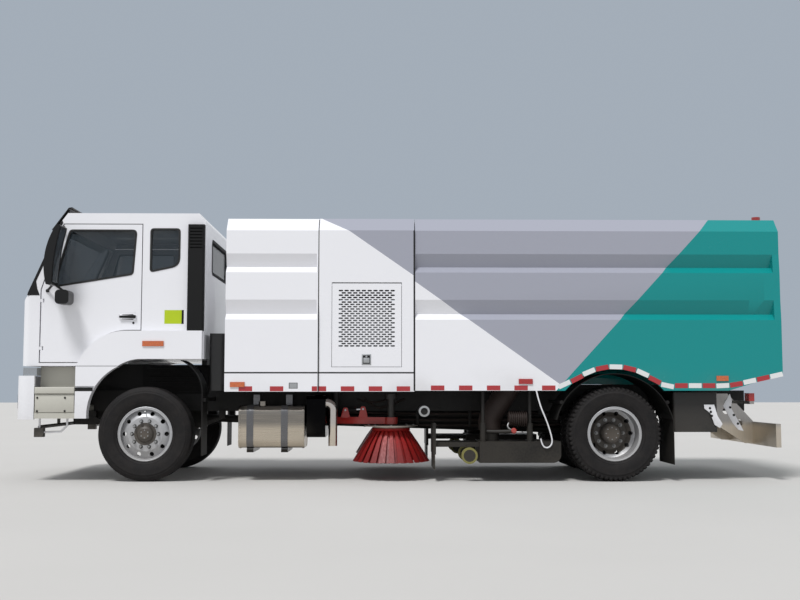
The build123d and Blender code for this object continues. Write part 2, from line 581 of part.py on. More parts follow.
# Engine bay: hollow section with a lid in each side
BAY_HALF = BODY_WIDTH / 2 - 10
LID_REAR_X = LID_FRONT_X - LID_LENGTH
LID_PIN_Y = BAY_HALF - LID_WALL / 2
LID_PIN_Z = LID_TOP - 20
LID_PIN_RADIUS = 8
LID_GAP = 5
with BuildPart() as engine_bay:
    with BuildSketch(Plane.YZ.offset(BAY_REAR_X)):
        with BuildLine():
            Polyline((BAY_HALF - TOP_CHAMFER[0], BODY_TOP), (BAY_HALF, BODY_TOP - TOP_CHAMFER[1]),
                     (BAY_HALF, MODULE_BOTTOM), (-BAY_HALF, MODULE_BOTTOM),
                     (-BAY_HALF, BODY_TOP - TOP_CHAMFER[1]), (-BAY_HALF + TOP_CHAMFER[0], BODY_TOP), close=True)
        make_face()
        Rectangle(2 * SKIRT_INNER_Y, 2 * SUBFRAME_TOP, mode=Mode.SUBTRACT)
    extrude(amount=ENGINE_BAY_LENGTH)
    with BuildSketch(Plane.YZ.offset(BAY_REAR_X + BODY_WALL)):
        with BuildLine():
            Polyline((BAY_HALF - 180, BODY_TOP - BODY_WALL), (BAY_HALF - 60, BODY_TOP - TOP_CHAMFER[1]),
                     (BAY_HALF - 60, SUBFRAME_TOP + BODY_WALL), (60 - BAY_HALF, SUBFRAME_TOP + BODY_WALL),
                     (60 - BAY_HALF, BODY_TOP - TOP_CHAMFER[1]), (180 - BAY_HALF, BODY_TOP - BODY_WALL), close=True)
        make_face()
    extrude(amount=ENGINE_BAY_LENGTH - 2 * BODY_WALL, mode=Mode.SUBTRACT)
    with BuildSketch(side(BAY_HALF + 10)):
        with Locations((LID_REAR_X - LID_GAP, LID_BOTTOM - LID_GAP)):
            Rectangle(LID_LENGTH + 2 * LID_GAP, LID_TOP + 12 + LID_GAP - LID_BOTTOM, align=(Align.MIN, Align.MIN))
    extrude(amount=2 * BAY_HALF + 20, mode=Mode.SUBTRACT)
    for hand in (1, -1):
        for x in (LID_REAR_X, LID_FRONT_X):
            with Locations((x, hand * LID_PIN_Y, LID_PIN_Z)):
                Cylinder(LID_PIN_RADIUS, 32, rotation=(0, 90, 0))
    with GridLocations(0, 2 * BAY_HALF, 1, 2):
        with Locations((BAY_REAR_X, 0, MODULE_SEAM_Z)):
            Box(2 * ENGINE_BAY_LENGTH, 24, 8, mode=Mode.SUBTRACT)
    with Locations((LID_REAR_X + 388, 0, BODY_TOP)):
        Box(423, 900, 20, align=(Align.CENTER, Align.CENTER, Align.MIN))
    with Locations((BAY_REAR_X + 270, 0, BODY_TOP)):
        Cylinder(12, 70, align=(Align.CENTER, Align.CENTER, Align.MIN))
    with Locations((BAY_REAR_X + 270, 0, BODY_TOP + 55)):
        Sphere(40)

with BuildPart() as fan_engine:
    with BuildSketch(Plane.XY.offset(SUBFRAME_TOP + BODY_WALL)):
        with Locations(((LID_REAR_X + LID_FRONT_X) / 2, 0)):
            Rectangle(620, 1300)
    extrude(amount=900)

LID_SHEET = 4
LID_SLOT = (51, 18)
LID_SLOT_PITCH = (64, 51.2)
LID_COLUMNS = 10
LID_ROWS = 13
LID_EDGE = 36
with BuildPart() as lid_left:
    with BuildSketch(side(BAY_HALF)):
        with Locations((LID_REAR_X, LID_BOTTOM)):
            Rectangle(LID_LENGTH, LID_TOP - LID_BOTTOM, align=(Align.MIN, Align.MIN))
    extrude(amount=LID_WALL)
    with BuildSketch(side(BAY_HALF - LID_SHEET)):
        with Locations((LID_REAR_X + LID_LENGTH / 2, LID_TOP - LID_EDGE - 14)):
            Rectangle(LID_LENGTH - 2 * LID_EDGE, LID_TOP - LID_BOTTOM - LID_EDGE - 14 - 180,
                      align=(Align.CENTER, Align.MAX))
    extrude(amount=LID_WALL, mode=Mode.SUBTRACT)
    with BuildSketch(side(BAY_HALF)):
        with Locations((LID_REAR_X + LID_LENGTH / 2, LID_TOP - 388)):
            for fewer in (0, 1):
                with GridLocations(*LID_SLOT_PITCH, LID_COLUMNS - fewer, LID_ROWS - fewer):
                    SlotOverall(*LID_SLOT)
    extrude(amount=2 * LID_SHEET, mode=Mode.SUBTRACT)
    for x in (LID_REAR_X, LID_FRONT_X):
        with Locations((x, LID_PIN_Y, LID_PIN_Z)):
            Cylinder(LID_PIN_RADIUS + FIT, 36, rotation=(0, 90, 0), mode=Mode.SUBTRACT)
    with BuildSketch(side(BAY_HALF)):
        with Locations((LID_REAR_X + LID_LENGTH / 2, LID_BOTTOM + 78)):
            RectangleRounded(100, 116, 15)
    extrude(amount=20, mode=Mode.SUBTRACT)
    with Locations((LID_REAR_X + LID_LENGTH / 2, BAY_HALF - 12, LID_BOTTOM + 90)):
        Box(70, 24, 60)
lid_right = mirrored(lid_left)

# Hopper: hollow load body that tips about pins at its rear lower corners
TUBE_TOP_X = NECK_X - TUBE_LEAN
HOPPER_LENGTH = HOPPER_FRONT_X - HOPPER_REAR_X
HOPPER_SKIRT_Y = BODY_WIDTH / 2 - BODY_WALL
BEARER_Y = RAIL_OUTER_Y + 40
DOOR_PLATE = 60
REAR_PIN_Z = BODY_TOP - 185
REAR_HEADER_Z = REAR_PIN_Z + 56
REAR_SILL = 1185
EYE_LUG_Y = 50
with BuildPart() as hopper_shell:
    with BuildSketch(Plane.YZ.offset(HOPPER_REAR_X)):
        with BuildLine():
            Polyline(*body_section(BODY_BOTTOM), close=True)
        make_face()
    extrude(amount=HOPPER_LENGTH)
    add(groove_cutter(HOPPER_REAR_X + PANEL_END + 60, HOPPER_FRONT_X), mode=Mode.SUBTRACT)
    with BuildSketch(Plane.YZ.offset(HOPPER_REAR_X)):
        with BuildLine():
            Polyline((HOPPER_INNER_Y - 80, BODY_TOP - BODY_WALL), (HOPPER_INNER_Y, BODY_TOP - BODY_WALL - 90),
                     (HOPPER_INNER_Y, HOPPER_FLOOR + BODY_WALL), (-HOPPER_INNER_Y, HOPPER_FLOOR + BODY_WALL),
                     (-HOPPER_INNER_Y, BODY_TOP - BODY_WALL - 90), (-HOPPER_INNER_Y + 80, BODY_TOP - BODY_WALL),
                     close=True)
        make_face()
    extrude(amount=HOPPER_LENGTH - BODY_WALL, mode=Mode.SUBTRACT)
    with Locations((HOPPER_REAR_X, 0, HOPPER_FLOOR)):
        Box(2 * HOPPER_LENGTH + 10, 2 * HOPPER_SKIRT_Y, HOPPER_FLOOR - BODY_BOTTOM + 10,
            align=(Align.CENTER, Align.CENTER, Align.MAX), mode=Mode.SUBTRACT)
        Box(2 * (DOOR_PLATE + 10), 2 * HOPPER_INNER_Y, 2 * BODY_WALL, mode=Mode.SUBTRACT)
    with Locations((HOPPER_REAR_X, 0, REAR_HEADER_Z)):
        Box(DOOR_PLATE, 2 * HOPPER_INNER_Y, BODY_TOP - BODY_WALL + 5 - REAR_HEADER_Z,
            align=(Align.MIN, Align.CENTER, Align.MIN))
    with BuildSketch(side(BODY_WIDTH / 2 + 10)):
        with Locations((REAR_AXLE_X, AXLE_Z)):
            Circle(WHEEL_ARCH_RADIUS)
        with BuildLine():
            Polyline((HOPPER_REAR_X + 613, BODY_BOTTOM - 1), (HOPPER_REAR_X - 1, BODY_BOTTOM - 1),
                     (HOPPER_REAR_X - 1, REAR_SILL), close=True)
        make_face()
    extrude(amount=BODY_WIDTH + 20, mode=Mode.SUBTRACT)
    for hand in (1, -1):
        with BuildSketch(side(hand * BEARER_Y)):
            with BuildLine():
                Polyline((HOPPER_FRONT_X - 60, HOPPER_FLOOR), (HOPPER_PIVOT_X - 60, HOPPER_FLOOR),
                         (HOPPER_PIVOT_X - 60, HOPPER_PIVOT_Z), (HOPPER_PIVOT_X + 60, HOPPER_PIVOT_Z),
                         (HOPPER_PIVOT_X + 120, SUBFRAME_TOP + LID_GAP),
                         (HOPPER_FRONT_X - 60, SUBFRAME_TOP + LID_GAP), close=True)
            make_face()
            with Locations((HOPPER_PIVOT_X, HOPPER_PIVOT_Z)):
                Circle(60)
                Circle(HOPPER_PIN_RADIUS + FIT, mode=Mode.SUBTRACT)
        extrude(amount=30, both=True)
        with Locations((TUBE_TOP_X, hand * NECK_Y, HOPPER_FLOOR)):
            Cylinder(TUBE_RADIUS - TUBE_WALL, 3 * BODY_WALL, mode=Mode.SUBTRACT)
        with BuildSketch(side(hand * EYE_LUG_Y)):
            with Locations((TIP_EYE_X, TIP_EYE_Z)):
                Circle(45)
                Rectangle(90, HOPPER_FLOOR - TIP_EYE_Z, align=(Align.CENTER, Align.MIN))
                Circle(22, mode=Mode.SUBTRACT)
        extrude(amount=8, both=True)
        with Locations((HOPPER_REAR_X + DOOR_PLATE / 2, hand * HOPPER_INNER_Y, REAR_PIN_Z)):
            Cylinder(12, 50, rotation=(90, 0, 0))
    with Locations((HOPPER_FRONT_X - 700, 0, BODY_TOP)):
        Box(980, 700, 62, align=(Align.CENTER, Align.CENTER, Align.MIN))

REAR_DOOR_BOTTOM = REAR_SILL + 5
REAR_DOOR_HALF = HOPPER_INNER_Y - 5
PRESSING_PITCH = REAR_DOOR_HALF * 2 / 3 - 43
with BuildPart() as rear_door:
    with BuildSketch(Plane.YZ.offset(HOPPER_REAR_X)):
        with Locations((0, REAR_DOOR_BOTTOM)):
            Rectangle(2 * REAR_DOOR_HALF, REAR_PIN_Z + 40 - REAR_DOOR_BOTTOM, align=(Align.CENTER, Align.MIN))
    extrude(amount=DOOR_PLATE)
    with BuildSketch(Plane.YZ.offset(HOPPER_REAR_X)):
        with GridLocations(PRESSING_PITCH, 0, 3, 1):
            with Locations((0, (REAR_DOOR_BOTTOM + REAR_PIN_Z) / 2)):
                RectangleRounded(PRESSING_PITCH - 100, 1300, 40)
    extrude(amount=15, mode=Mode.SUBTRACT)
    for hand in (1, -1):
        with Locations((HOPPER_REAR_X + DOOR_PLATE / 2, hand * HOPPER_INNER_Y, REAR_PIN_Z)):
            Cylinder(12 + FIT, 60, rotation=(90, 0, 0), mode=Mode.SUBTRACT)

HOPPER_LAMP_XS = ((HOPPER_FRONT_X - 1144, 155, 1074), (HOPPER_REAR_X + 746, 133, 1108))
with BuildPart() as hopper_lamps:
    for front_x, length, bottom in HOPPER_LAMP_XS:
        for hand in (1, -1):
            with Locations((front_x, hand * (BODY_WIDTH / 2 + 6 + SEAT), bottom)):
                Box(length, 12, 56, align=(Align.MAX, Align.CENTER, Align.MIN))
    with Locations((HOPPER_REAR_X + 135, 900, BODY_TOP + SEAT), (HOPPER_REAR_X + 135, -900, BODY_TOP + SEAT)):
        Cylinder(50, 60, align=(Align.CENTER, Align.CENTER, Align.MIN))

# Tipping cylinder: barrel on the frame's cross tube, rod up to the open lugs under the hopper
tip_run = Vector(TIP_EYE_X - TIP_BASE_X, 0, TIP_EYE_Z - TIP_BASE_Z)
tip_plane = Plane(origin=(TIP_BASE_X, 0, TIP_BASE_Z), x_dir=(0, 1, 0), z_dir=tip_run)
BARREL_LENGTH = tip_run.length - 110
with BuildPart() as tip_barrel:
    with BuildSketch(tip_plane.offset(TIP_TUBE_RADIUS + 20)):
        Circle(60)
    extrude(amount=BARREL_LENGTH - TIP_TUBE_RADIUS - 20)
    with Locations((TIP_BASE_X, 0, TIP_BASE_Z)):
        Cylinder(TIP_TUBE_RADIUS + 30, 100, rotation=(90, 0, 0))
        Cylinder(TIP_TUBE_RADIUS + FIT, 120, rotation=(90, 0, 0), mode=Mode.SUBTRACT)
    with BuildSketch(tip_plane.offset(TIP_TUBE_RADIUS + 60)):
        Circle(TIP_ROD_RADIUS + FIT)
    extrude(amount=BARREL_LENGTH, mode=Mode.SUBTRACT)
with BuildPart() as tip_rod:
    with BuildSketch(tip_plane.offset(tip_run.length)):
        Circle(TIP_ROD_RADIUS)
    extrude(amount=-(tip_run.length - TIP_TUBE_RADIUS - 80))
    with Locations((TIP_EYE_X, 0, TIP_EYE_Z)):
        Cylinder(45, 70, rotation=(90, 0, 0))
        Cylinder(22, 80, rotation=(90, 0, 0), mode=Mode.SUBTRACT)

# Suction tubes on the frame, nozzles that slide on their guide posts
with BuildPart() as suction_tube:
    with BuildLine() as tube_path:
        FilletPolyline((NECK_X, NECK_Y, 560), (NECK_X, NECK_Y, 690), (TUBE_TOP_X, NECK_Y, 1150),
                       (TUBE_TOP_X, NECK_Y, HOPPER_FLOOR - SEAT), radius=180)
    with BuildSketch(Plane.XY.offset(560)):
        with Locations((NECK_X, NECK_Y)):
            Circle(TUBE_RADIUS)
            Circle(TUBE_RADIUS - TUBE_WALL, mode=Mode.SUBTRACT)
    sweep(path=tube_path.wires()[0])
    with Locations((NECK_X - 30, RAIL_OUTER_Y, 800)):
        Box(60, NECK_Y - RAIL_OUTER_Y - 110, 60, align=(Align.CENTER, Align.MIN, Align.CENTER))
with BuildPart() as suction_tubes:
    add(suction_tube)
    mirror(suction_tube.part, about=Plane.XZ)

NOZZLE_WALL = 12
HOOD_FRONT_X = NECK_X + 140
CASTOR_X = NOZZLE_FRONT_X - 401
NOZZLE_BARS = ((NOZZLE_INNER_Y + 85, NOZZLE_INNER_Y + 30), (NOZZLE_OUTER_Y - 90, NOZZLE_OUTER_Y - 40))
with BuildPart() as nozzle_left:
    with BuildSketch(side(NOZZLE_OUTER_Y)):
        with Locations((NOZZLE_REAR_X, NOZZLE_BOTTOM)):
            Rectangle(HOOD_FRONT_X - NOZZLE_REAR_X, NOZZLE_TOP - NOZZLE_BOTTOM, align=(Align.MIN, Align.MIN))
        fillet(vertices().group_by(Axis.X)[0].group_by(Axis.Y)[0], 90)
    extrude(amount=NOZZLE_OUTER_Y - NOZZLE_INNER_Y)
    with Locations((NECK_X, NECK_Y, NOZZLE_TOP - 5)):
        Cylinder(NECK_RADIUS, 240, align=(Align.CENTER, Align.CENTER, Align.MIN))
    with BuildSketch(side(NOZZLE_OUTER_Y - NOZZLE_WALL)):
        with Locations((NOZZLE_REAR_X + NOZZLE_WALL, 0)):
            Rectangle(HOOD_FRONT_X - NOZZLE_REAR_X - 2 * NOZZLE_WALL, NOZZLE_TOP - NOZZLE_WALL,
                      align=(Align.MIN, Align.MIN))
    extrude(amount=NOZZLE_OUTER_Y - NOZZLE_INNER_Y - 2 * NOZZLE_WALL, mode=Mode.SUBTRACT)
    with Locations((NECK_X, NECK_Y, NOZZLE_TOP - 50)):
        Cylinder(NECK_RADIUS - 8, 400, align=(Align.CENTER, Align.CENTER, Align.MIN), mode=Mode.SUBTRACT)
    for x in POST_XS:
        with Locations((x, POST_Y, NOZZLE_TOP - 10)):
            Cylinder(POST_RADIUS + 14, 210, align=(Align.CENTER, Align.CENTER, Align.MIN))
            Cylinder(POST_RADIUS + FIT, 500, mode=Mode.SUBTRACT)
    with BuildSketch(Plane.XY.offset(NOZZLE_TOP - 60)):
        for bar_y, castor_y in NOZZLE_BARS:
            with Locations((HOOD_FRONT_X - 5, bar_y)):
                Rectangle(NOZZLE_FRONT_X - HOOD_FRONT_X, 50, align=(Align.MIN, Align.CENTER))
    extrude(amount=50)
    with BuildSketch(side(NOZZLE_OUTER_Y)):
        with Locations((NOZZLE_FRONT_X, 300)):
            Rectangle(30, 340, align=(Align.MAX, Align.MIN))
        with Locations((NOZZLE_FRONT_X - 5, 135)):
            Rectangle(15, 170, align=(Align.MAX, Align.MIN))
    extrude(amount=NOZZLE_OUTER_Y - NOZZLE_INNER_Y)
    for bar_y, castor_y in NOZZLE_BARS:
        with Locations((CASTOR_X, castor_y, 285)):
            Cylinder(89, 60, rotation=(90, 0, 0))
        with BuildSketch(side((bar_y + castor_y) / 2)):
            with Locations((CASTOR_X, 285)):
                Rectangle(50, NOZZLE_TOP - 325, align=(Align.CENTER, Align.MIN))
                Circle(25)
        extrude(amount=15, both=True)
nozzle_right = mirrored(nozzle_left)

# Side brushes: arm that swings, head that goes down, brush that spins
arm_run = Vector(BRUSH_X - ARM_PIVOT_X, BRUSH_Y - ARM_PIVOT_Y, 0)
with BuildPart() as brush_arm_left:
    with BuildSketch(Plane.XY.offset(ARM_BOTTOM)):
        with Locations(((BRUSH_X + ARM_PIVOT_X) / 2, (BRUSH_Y + ARM_PIVOT_Y) / 2)):
            SlotCenterToCenter(arm_run.length, 90, rotation=degrees(atan2(arm_run.Y, arm_run.X)))
        with Locations((BRUSH_X, BRUSH_Y)):
            Circle(75)
            Circle(HEAD_ROD_RADIUS + FIT, mode=Mode.SUBTRACT)
        with Locations((ARM_PIVOT_X, ARM_PIVOT_Y)):
            Circle(50)
            Circle(25 + FIT, mode=Mode.SUBTRACT)
    extrude(amount=ARM_HEIGHT)
brush_arm_right = mirrored(brush_arm_left)

with BuildPart() as brush_head_left:
    with Locations((BRUSH_X, BRUSH_Y, BRUSH_PLATE_Z)):
        Cylinder(20, 80, align=(Align.CENTER, Align.CENTER, Align.MAX))
        Cylinder(BRUSH_PLATE_RADIUS, 20, align=(Align.CENTER, Align.CENTER, Align.MIN))
        Cylinder(HEAD_ROD_RADIUS, 330, align=(Align.CENTER, Align.CENTER, Align.MIN))
    with Locations((BRUSH_X, BRUSH_Y, BRUSH_PLATE_Z + 320)):
        Cylinder(62, 60, align=(Align.CENTER, Align.CENTER, Align.MIN))
brush_head_right = mirrored(brush_head_left)

FAN_COUNT = 24
FAN_DEPTH = 46
FAN_SECTIONS = (  # height, middle radius, width
    (BRUSH_PLATE_Z - 24, BRUSH_PLATE_RADIUS - FAN_DEPTH / 2, 32),
    (BRUSH_WAIST_Z, BRUSH_RADIUS - FAN_DEPTH / 2, 98),
    (BRUSH_BOTTOM, BRUSH_FOOT_RADIUS - FAN_DEPTH / 2, 76),
)
with BuildPart() as brush_fan:
    for height, radius, width in FAN_SECTIONS:
        with BuildSketch(Plane.XY.offset(height)):
            with Locations((radius, 0)):
                Rectangle(FAN_DEPTH, width)
    loft(ruled=True)
with BuildPart() as brush_left:
    with BuildSketch(Plane(origin=(BRUSH_X, BRUSH_Y, 0), x_dir=(1, 0, 0), z_dir=(0, -1, 0))):
        with BuildLine():
            Polyline((20 + FIT, BRUSH_PLATE_Z - 35), (20 + FIT, BRUSH_PLATE_Z - SEAT),
                     (BRUSH_PLATE_RADIUS - 6, BRUSH_PLATE_Z - SEAT), (BRUSH_PLATE_RADIUS + 8, BRUSH_PLATE_Z - 20),
                     (BRUSH_PLATE_RADIUS + 8, BRUSH_PLATE_Z - 36), (BRUSH_PLATE_RADIUS - 60, BRUSH_PLATE_Z - 36),
                     close=True)
        make_face()
    revolve(axis=Axis((BRUSH_X, BRUSH_Y, 0), (0, 0, 1)))
    with Locations((BRUSH_X, BRUSH_Y, 0)):
        with PolarLocations(0, FAN_COUNT):
            add(brush_fan)
brush_right = mirrored(brush_left)

# Door outline in the side view: its lower rear corner follows the fender with a gap
FENDER_GAP = DOOR_GAP + 2
FENDER_CENTRE = (FENDER_FRONT_X, FENDER_TOP - FENDER_RADIUS)
DOOR_CORNER = (DOOR_FRONT_X, SCREEN_FOOT[1] + 56)
DOOR_HEAD_X = SCREEN_HEAD[0] - 30
door_arc_angle = degrees(asin((DOOR_BOTTOM - FENDER_CENTRE[1]) / (FENDER_RADIUS + FENDER_GAP)))
with BuildSketch() as door_outline:
    with BuildLine():
        rear_arc = CenterArc(FENDER_CENTRE, FENDER_RADIUS + FENDER_GAP, door_arc_angle, 90 - door_arc_angle)
        Polyline(rear_arc @ 0, (DOOR_FRONT_X, DOOR_BOTTOM), DOOR_CORNER, (DOOR_HEAD_X, DOOR_TOP),
                 (DOOR_REAR_X, DOOR_TOP), (DOOR_REAR_X, FENDER_TOP + FENDER_GAP), rear_arc @ 1)
    make_face()
with BuildSketch() as door_window:
    with BuildLine():
        Polyline((DOOR_REAR_X + 96, 2297), (DOOR_REAR_X + 62, DOOR_TOP - 65), (DOOR_HEAD_X - 68, DOOR_TOP - 65),
                 (DOOR_FRONT_X - 128, 2152), close=True)
    make_face()
    fillet(door_window.vertices(), 45)
with BuildSketch() as quarter_window:
    with BuildLine():
        Polyline((DOOR_REAR_X - 98, 2325), (DOOR_REAR_X - 98, 2808), (CAB_REAR_X + 287, 2808),
                 (CAB_REAR_X + 287, 2395), close=True)
    make_face()
    fillet(quarter_window.vertices().sort_by(Axis.X)[:2].sort_by(Axis.Y)[0], 110)
    fillet(quarter_window.vertices().group_by(Axis.Y)[-1], 35)
    fillet(quarter_window.vertices().sort_by(Axis.X)[-2:].sort_by(Axis.Y)[0], 30)

screen_run = Vector(SCREEN_HEAD[0] - SCREEN_FOOT[0], 0, SCREEN_HEAD[1] - SCREEN_FOOT[1])
screen_middle = Vector(SCREEN_FOOT[0], 0, SCREEN_FOOT[1]) + screen_run * 0.5
screen_plane = Plane(origin=screen_middle, x_dir=(0, 1, 0), z_dir=(screen_run.Z, 0, -screen_run.X))
SCREEN_SIZE = (2 * (CAB_SIDE_Y - 110), screen_run.length - 90)
HINGE_ZS = (1470, 2000)
DOOR_PIN_RADIUS = 6
ARM_OUTER_Y = RAIL_OUTER_Y + 55
ARM_LEG_X = CAB_TILT_X - 250
REAR_WINDOW_SIZE = (1300, 380)
REAR_WINDOW_Z = 2550
FRONT_SLOT = (1500, 46)
FRONT_SLOT_ZS = (1450, 1540, 1630)

# Cab shell: side profile, hollowed, with door openings, windows, fenders and tilting arms
with BuildPart() as cab_shell:
    with BuildSketch(side(CAB_SIDE_Y)):
        with BuildLine():
            Polyline((CAB_FRONT_X, CAB_BOTTOM), (CAB_FRONT_X, SCREEN_FOOT[1] - 74), SCREEN_FOOT, SCREEN_HEAD,
                     (SCREEN_HEAD[0] - 70, CAB_TOP), (CAB_REAR_X + 70, CAB_TOP), (CAB_REAR_X, CAB_TOP - 90),
                     (CAB_REAR_X, CAB_FLOOR), (FRONT_AXLE_X + 290, CAB_FLOOR), (FRONT_AXLE_X + 340, CAB_BOTTOM),
                     close=True)
        make_face()
    extrude(amount=CAB_WIDTH)
    fillet(cab_shell.edges().filter_by(Axis.Z).group_by(Axis.X)[-1], 90)
    with BuildSketch(side(CAB_SIDE_Y - CAB_WALL)):
        with BuildLine():
            Polyline((CAB_FRONT_X - 60, CAB_FLOOR + 50), (CAB_FRONT_X - 60, SCREEN_FOOT[1] - 74),
                     (SCREEN_FOOT[0] - 58, SCREEN_FOOT[1]), (SCREEN_HEAD[0] - 58, SCREEN_HEAD[1] - 14),
                     (SCREEN_HEAD[0] - 100, CAB_TOP - CAB_WALL), (CAB_REAR_X + 100, CAB_TOP - CAB_WALL),
                     (CAB_REAR_X + CAB_WALL, CAB_TOP - 120), (CAB_REAR_X + CAB_WALL, CAB_FLOOR + 50), close=True)
        make_face()
    extrude(amount=CAB_WIDTH - 2 * CAB_WALL, mode=Mode.SUBTRACT)
    with Locations((FRONT_AXLE_X + 280, 0, CAB_FLOOR)):
        Box(CAB_FRONT_X - CAB_WALL - FRONT_AXLE_X - 280, 2 * (CAB_SIDE_Y - CAB_WALL), 200,
            align=(Align.MIN, Align.CENTER, Align.MAX), mode=Mode.SUBTRACT)
    for hand in (1, -1):
        with BuildSketch(side(hand * (CAB_SIDE_Y - CAB_WALL / 2 + 40))):
            with BuildLine():
                fender_arc = CenterArc(FENDER_CENTRE, FENDER_RADIUS,
                                       degrees(asin((CAB_BOTTOM - FENDER_CENTRE[1]) / FENDER_RADIUS)),
                                       90 - degrees(asin((CAB_BOTTOM - FENDER_CENTRE[1]) / FENDER_RADIUS)))
                Line(fender_arc @ 1, (CAB_REAR_X + 14, FENDER_TOP))
                Line((CAB_REAR_X + 14, FENDER_TOP), (CAB_REAR_X + 14, CAB_FLOOR))
                Line((CAB_REAR_X + 14, CAB_FLOOR), (FRONT_AXLE_X + 50, CAB_FLOOR))
                ThreePointArc((FRONT_AXLE_X + 50, CAB_FLOOR), (FRONT_AXLE_X + 180, CAB_FLOOR - 22),
                              (FRONT_AXLE_X + 290, CAB_BOTTOM))
                Line((FRONT_AXLE_X + 290, CAB_BOTTOM), fender_arc @ 0)
            make_face()
        extrude(amount=(FENDER_WIDTH / 2 - CAB_SIDE_Y + CAB_WALL) / 2, both=True)
        with BuildSketch(side(hand * (CAB_SIDE_Y - CAB_WALL / 2))):
            add(door_outline.sketch)
            offset(amount=DOOR_GAP, kind=Kind.INTERSECTION)
        extrude(amount=CAB_WALL / 2 + 5, both=True, mode=Mode.SUBTRACT)
        with BuildSketch(side(hand * (CAB_SIDE_Y - CAB_WALL / 2))):
            add(quarter_window.sketch)
            with BuildLine():
                Polyline((DOOR_REAR_X + 62, DOOR_TOP - 65), (DOOR_REAR_X + 96, 2297),
                         (DOOR_FRONT_X - 128, 2152), (DOOR_HEAD_X - 68, DOOR_TOP - 65), close=True)
            make_face()
        extrude(amount=CAB_WALL, both=True, mode=Mode.SUBTRACT)
        for z in HINGE_ZS:
            with Locations((DOOR_HINGE_X - 7, hand * DOOR_HINGE_Y, z)):
                Box(DOOR_FRONT_X + DOOR_GAP + 18 - DOOR_HINGE_X, 12, 36,
                    align=(Align.MIN, Align.CENTER, Align.CENTER))
            with Locations((DOOR_HINGE_X, hand * DOOR_HINGE_Y, z)):
                Cylinder(DOOR_PIN_RADIUS, 70)
        with BuildSketch(side(hand * (ARM_OUTER_Y - 20))):
            with Locations((ARM_LEG_X, CAB_TILT_Z - 40)):
                Rectangle(80, CAB_FLOOR + 10 - CAB_TILT_Z + 40, align=(Align.CENTER, Align.MIN))
            with Locations((CAB_TILT_X, CAB_TILT_Z)):
                Rectangle(250, 80, align=(Align.MAX, Align.CENTER))
                Circle(40)
                Circle(CAB_PIN_RADIUS + FIT, mode=Mode.SUBTRACT)
        extrude(amount=20, both=True)
    with BuildSketch(screen_plane):
        RectangleRounded(*SCREEN_SIZE, 80)
    extrude(amount=150, both=True, mode=Mode.SUBTRACT)
    with BuildSketch(Plane.YZ.offset(CAB_REAR_X)):
        with Locations((0, REAR_WINDOW_Z)):
            RectangleRounded(*REAR_WINDOW_SIZE, 60)
    extrude(amount=CAB_WALL, both=True, mode=Mode.SUBTRACT)
    with BuildSketch(Plane.YZ.offset(CAB_FRONT_X - 20)):
        for z in FRONT_SLOT_ZS:
            with Locations((0, z)):
                SlotOverall(*FRONT_SLOT)
    extrude(amount=40, mode=Mode.SUBTRACT)

GLASS_WALL = 8
with BuildPart() as cab_glass:
    with BuildSketch(screen_plane.offset(-20)):
        RectangleRounded(SCREEN_SIZE[0] - 2 * SEAT, SCREEN_SIZE[1] - 2 * SEAT, 80 - SEAT)
    extrude(amount=GLASS_WALL)
    with BuildSketch(Plane.YZ.offset(CAB_REAR_X + 20)):
        with Locations((0, REAR_WINDOW_Z)):
            RectangleRounded(REAR_WINDOW_SIZE[0] - 2 * SEAT, REAR_WINDOW_SIZE[1] - 2 * SEAT, 60 - SEAT)
    extrude(amount=GLASS_WALL)
    for hand in (1, -1):
        with BuildSketch(side(hand * (CAB_SIDE_Y - 15))):
            add(quarter_window.sketch)
            offset(amount=-SEAT)
        extrude(amount=GLASS_WALL / 2, both=True)

with BuildPart() as sun_visor:
    with BuildSketch(side(CAB_SIDE_Y - 50)):
        with BuildLine():
            Polyline((SCREEN_HEAD[0] + 112, CAB_TOP - 188), (SCREEN_HEAD[0] + 124, CAB_TOP - 182),
                     (SCREEN_HEAD[0] - 60, CAB_TOP + 70), (SCREEN_HEAD[0] - 100, CAB_TOP + 75),
                     (SCREEN_HEAD[0] - 98, CAB_TOP + 64), (SCREEN_HEAD[0] - 66, CAB_TOP + 59), close=True)
        make_face()
    extrude(amount=CAB_WIDTH - 100)
    for y in (CAB_SIDE_Y - 90, 0, -(CAB_SIDE_Y - 90)):
        with BuildSketch(side(y + 15)):
            with BuildLine():
                Polyline((SCREEN_HEAD[0] + SEAT, SCREEN_HEAD[1]), (SCREEN_HEAD[0] + 57, SCREEN_HEAD[1]),
                         (SCREEN_HEAD[0] - 62, CAB_TOP + 61), (SCREEN_HEAD[0] - 70, CAB_TOP + SEAT), close=True)
            make_face()
        extrude(amount=30)

SEAT_Y = 550
WHEEL_AT = Vector(CAB_FRONT_X - 480, SEAT_Y, 2010)
wheel_plane = Plane(origin=WHEEL_AT, x_dir=(0, 1, 0), z_dir=(-0.55, 0, 1))
with BuildPart() as dashboard:
    with BuildSketch(side(CAB_SIDE_Y - CAB_WALL - 40)):
        with BuildLine():
            Polyline((CAB_FRONT_X - 60 - SEAT, 1620), (CAB_FRONT_X - 60 - SEAT, 1980), (CAB_FRONT_X - 300, 2040),
                     (CAB_FRONT_X - 380, 1990), (CAB_FRONT_X - 330, 1750), (CAB_FRONT_X - 200, 1620), close=True)
        make_face()
    extrude(amount=2 * (CAB_SIDE_Y - CAB_WALL - 40))
    with BuildSketch(wheel_plane.offset(-20)):
        Circle(32)
    extrude(amount=-330)
    with BuildSketch(Plane(origin=WHEEL_AT, x_dir=(0, 1, 0), z_dir=(1, 0, 0.55))):
        with Locations((220, 0)):
            Circle(16)
    revolve(axis=Axis(WHEEL_AT, wheel_plane.z_dir))
    with BuildSketch(wheel_plane.offset(-25)):
        Circle(60)
        Rectangle(440, 50)
        Rectangle(50, 220, align=(Align.CENTER, Align.MAX))
    extrude(amount=22)

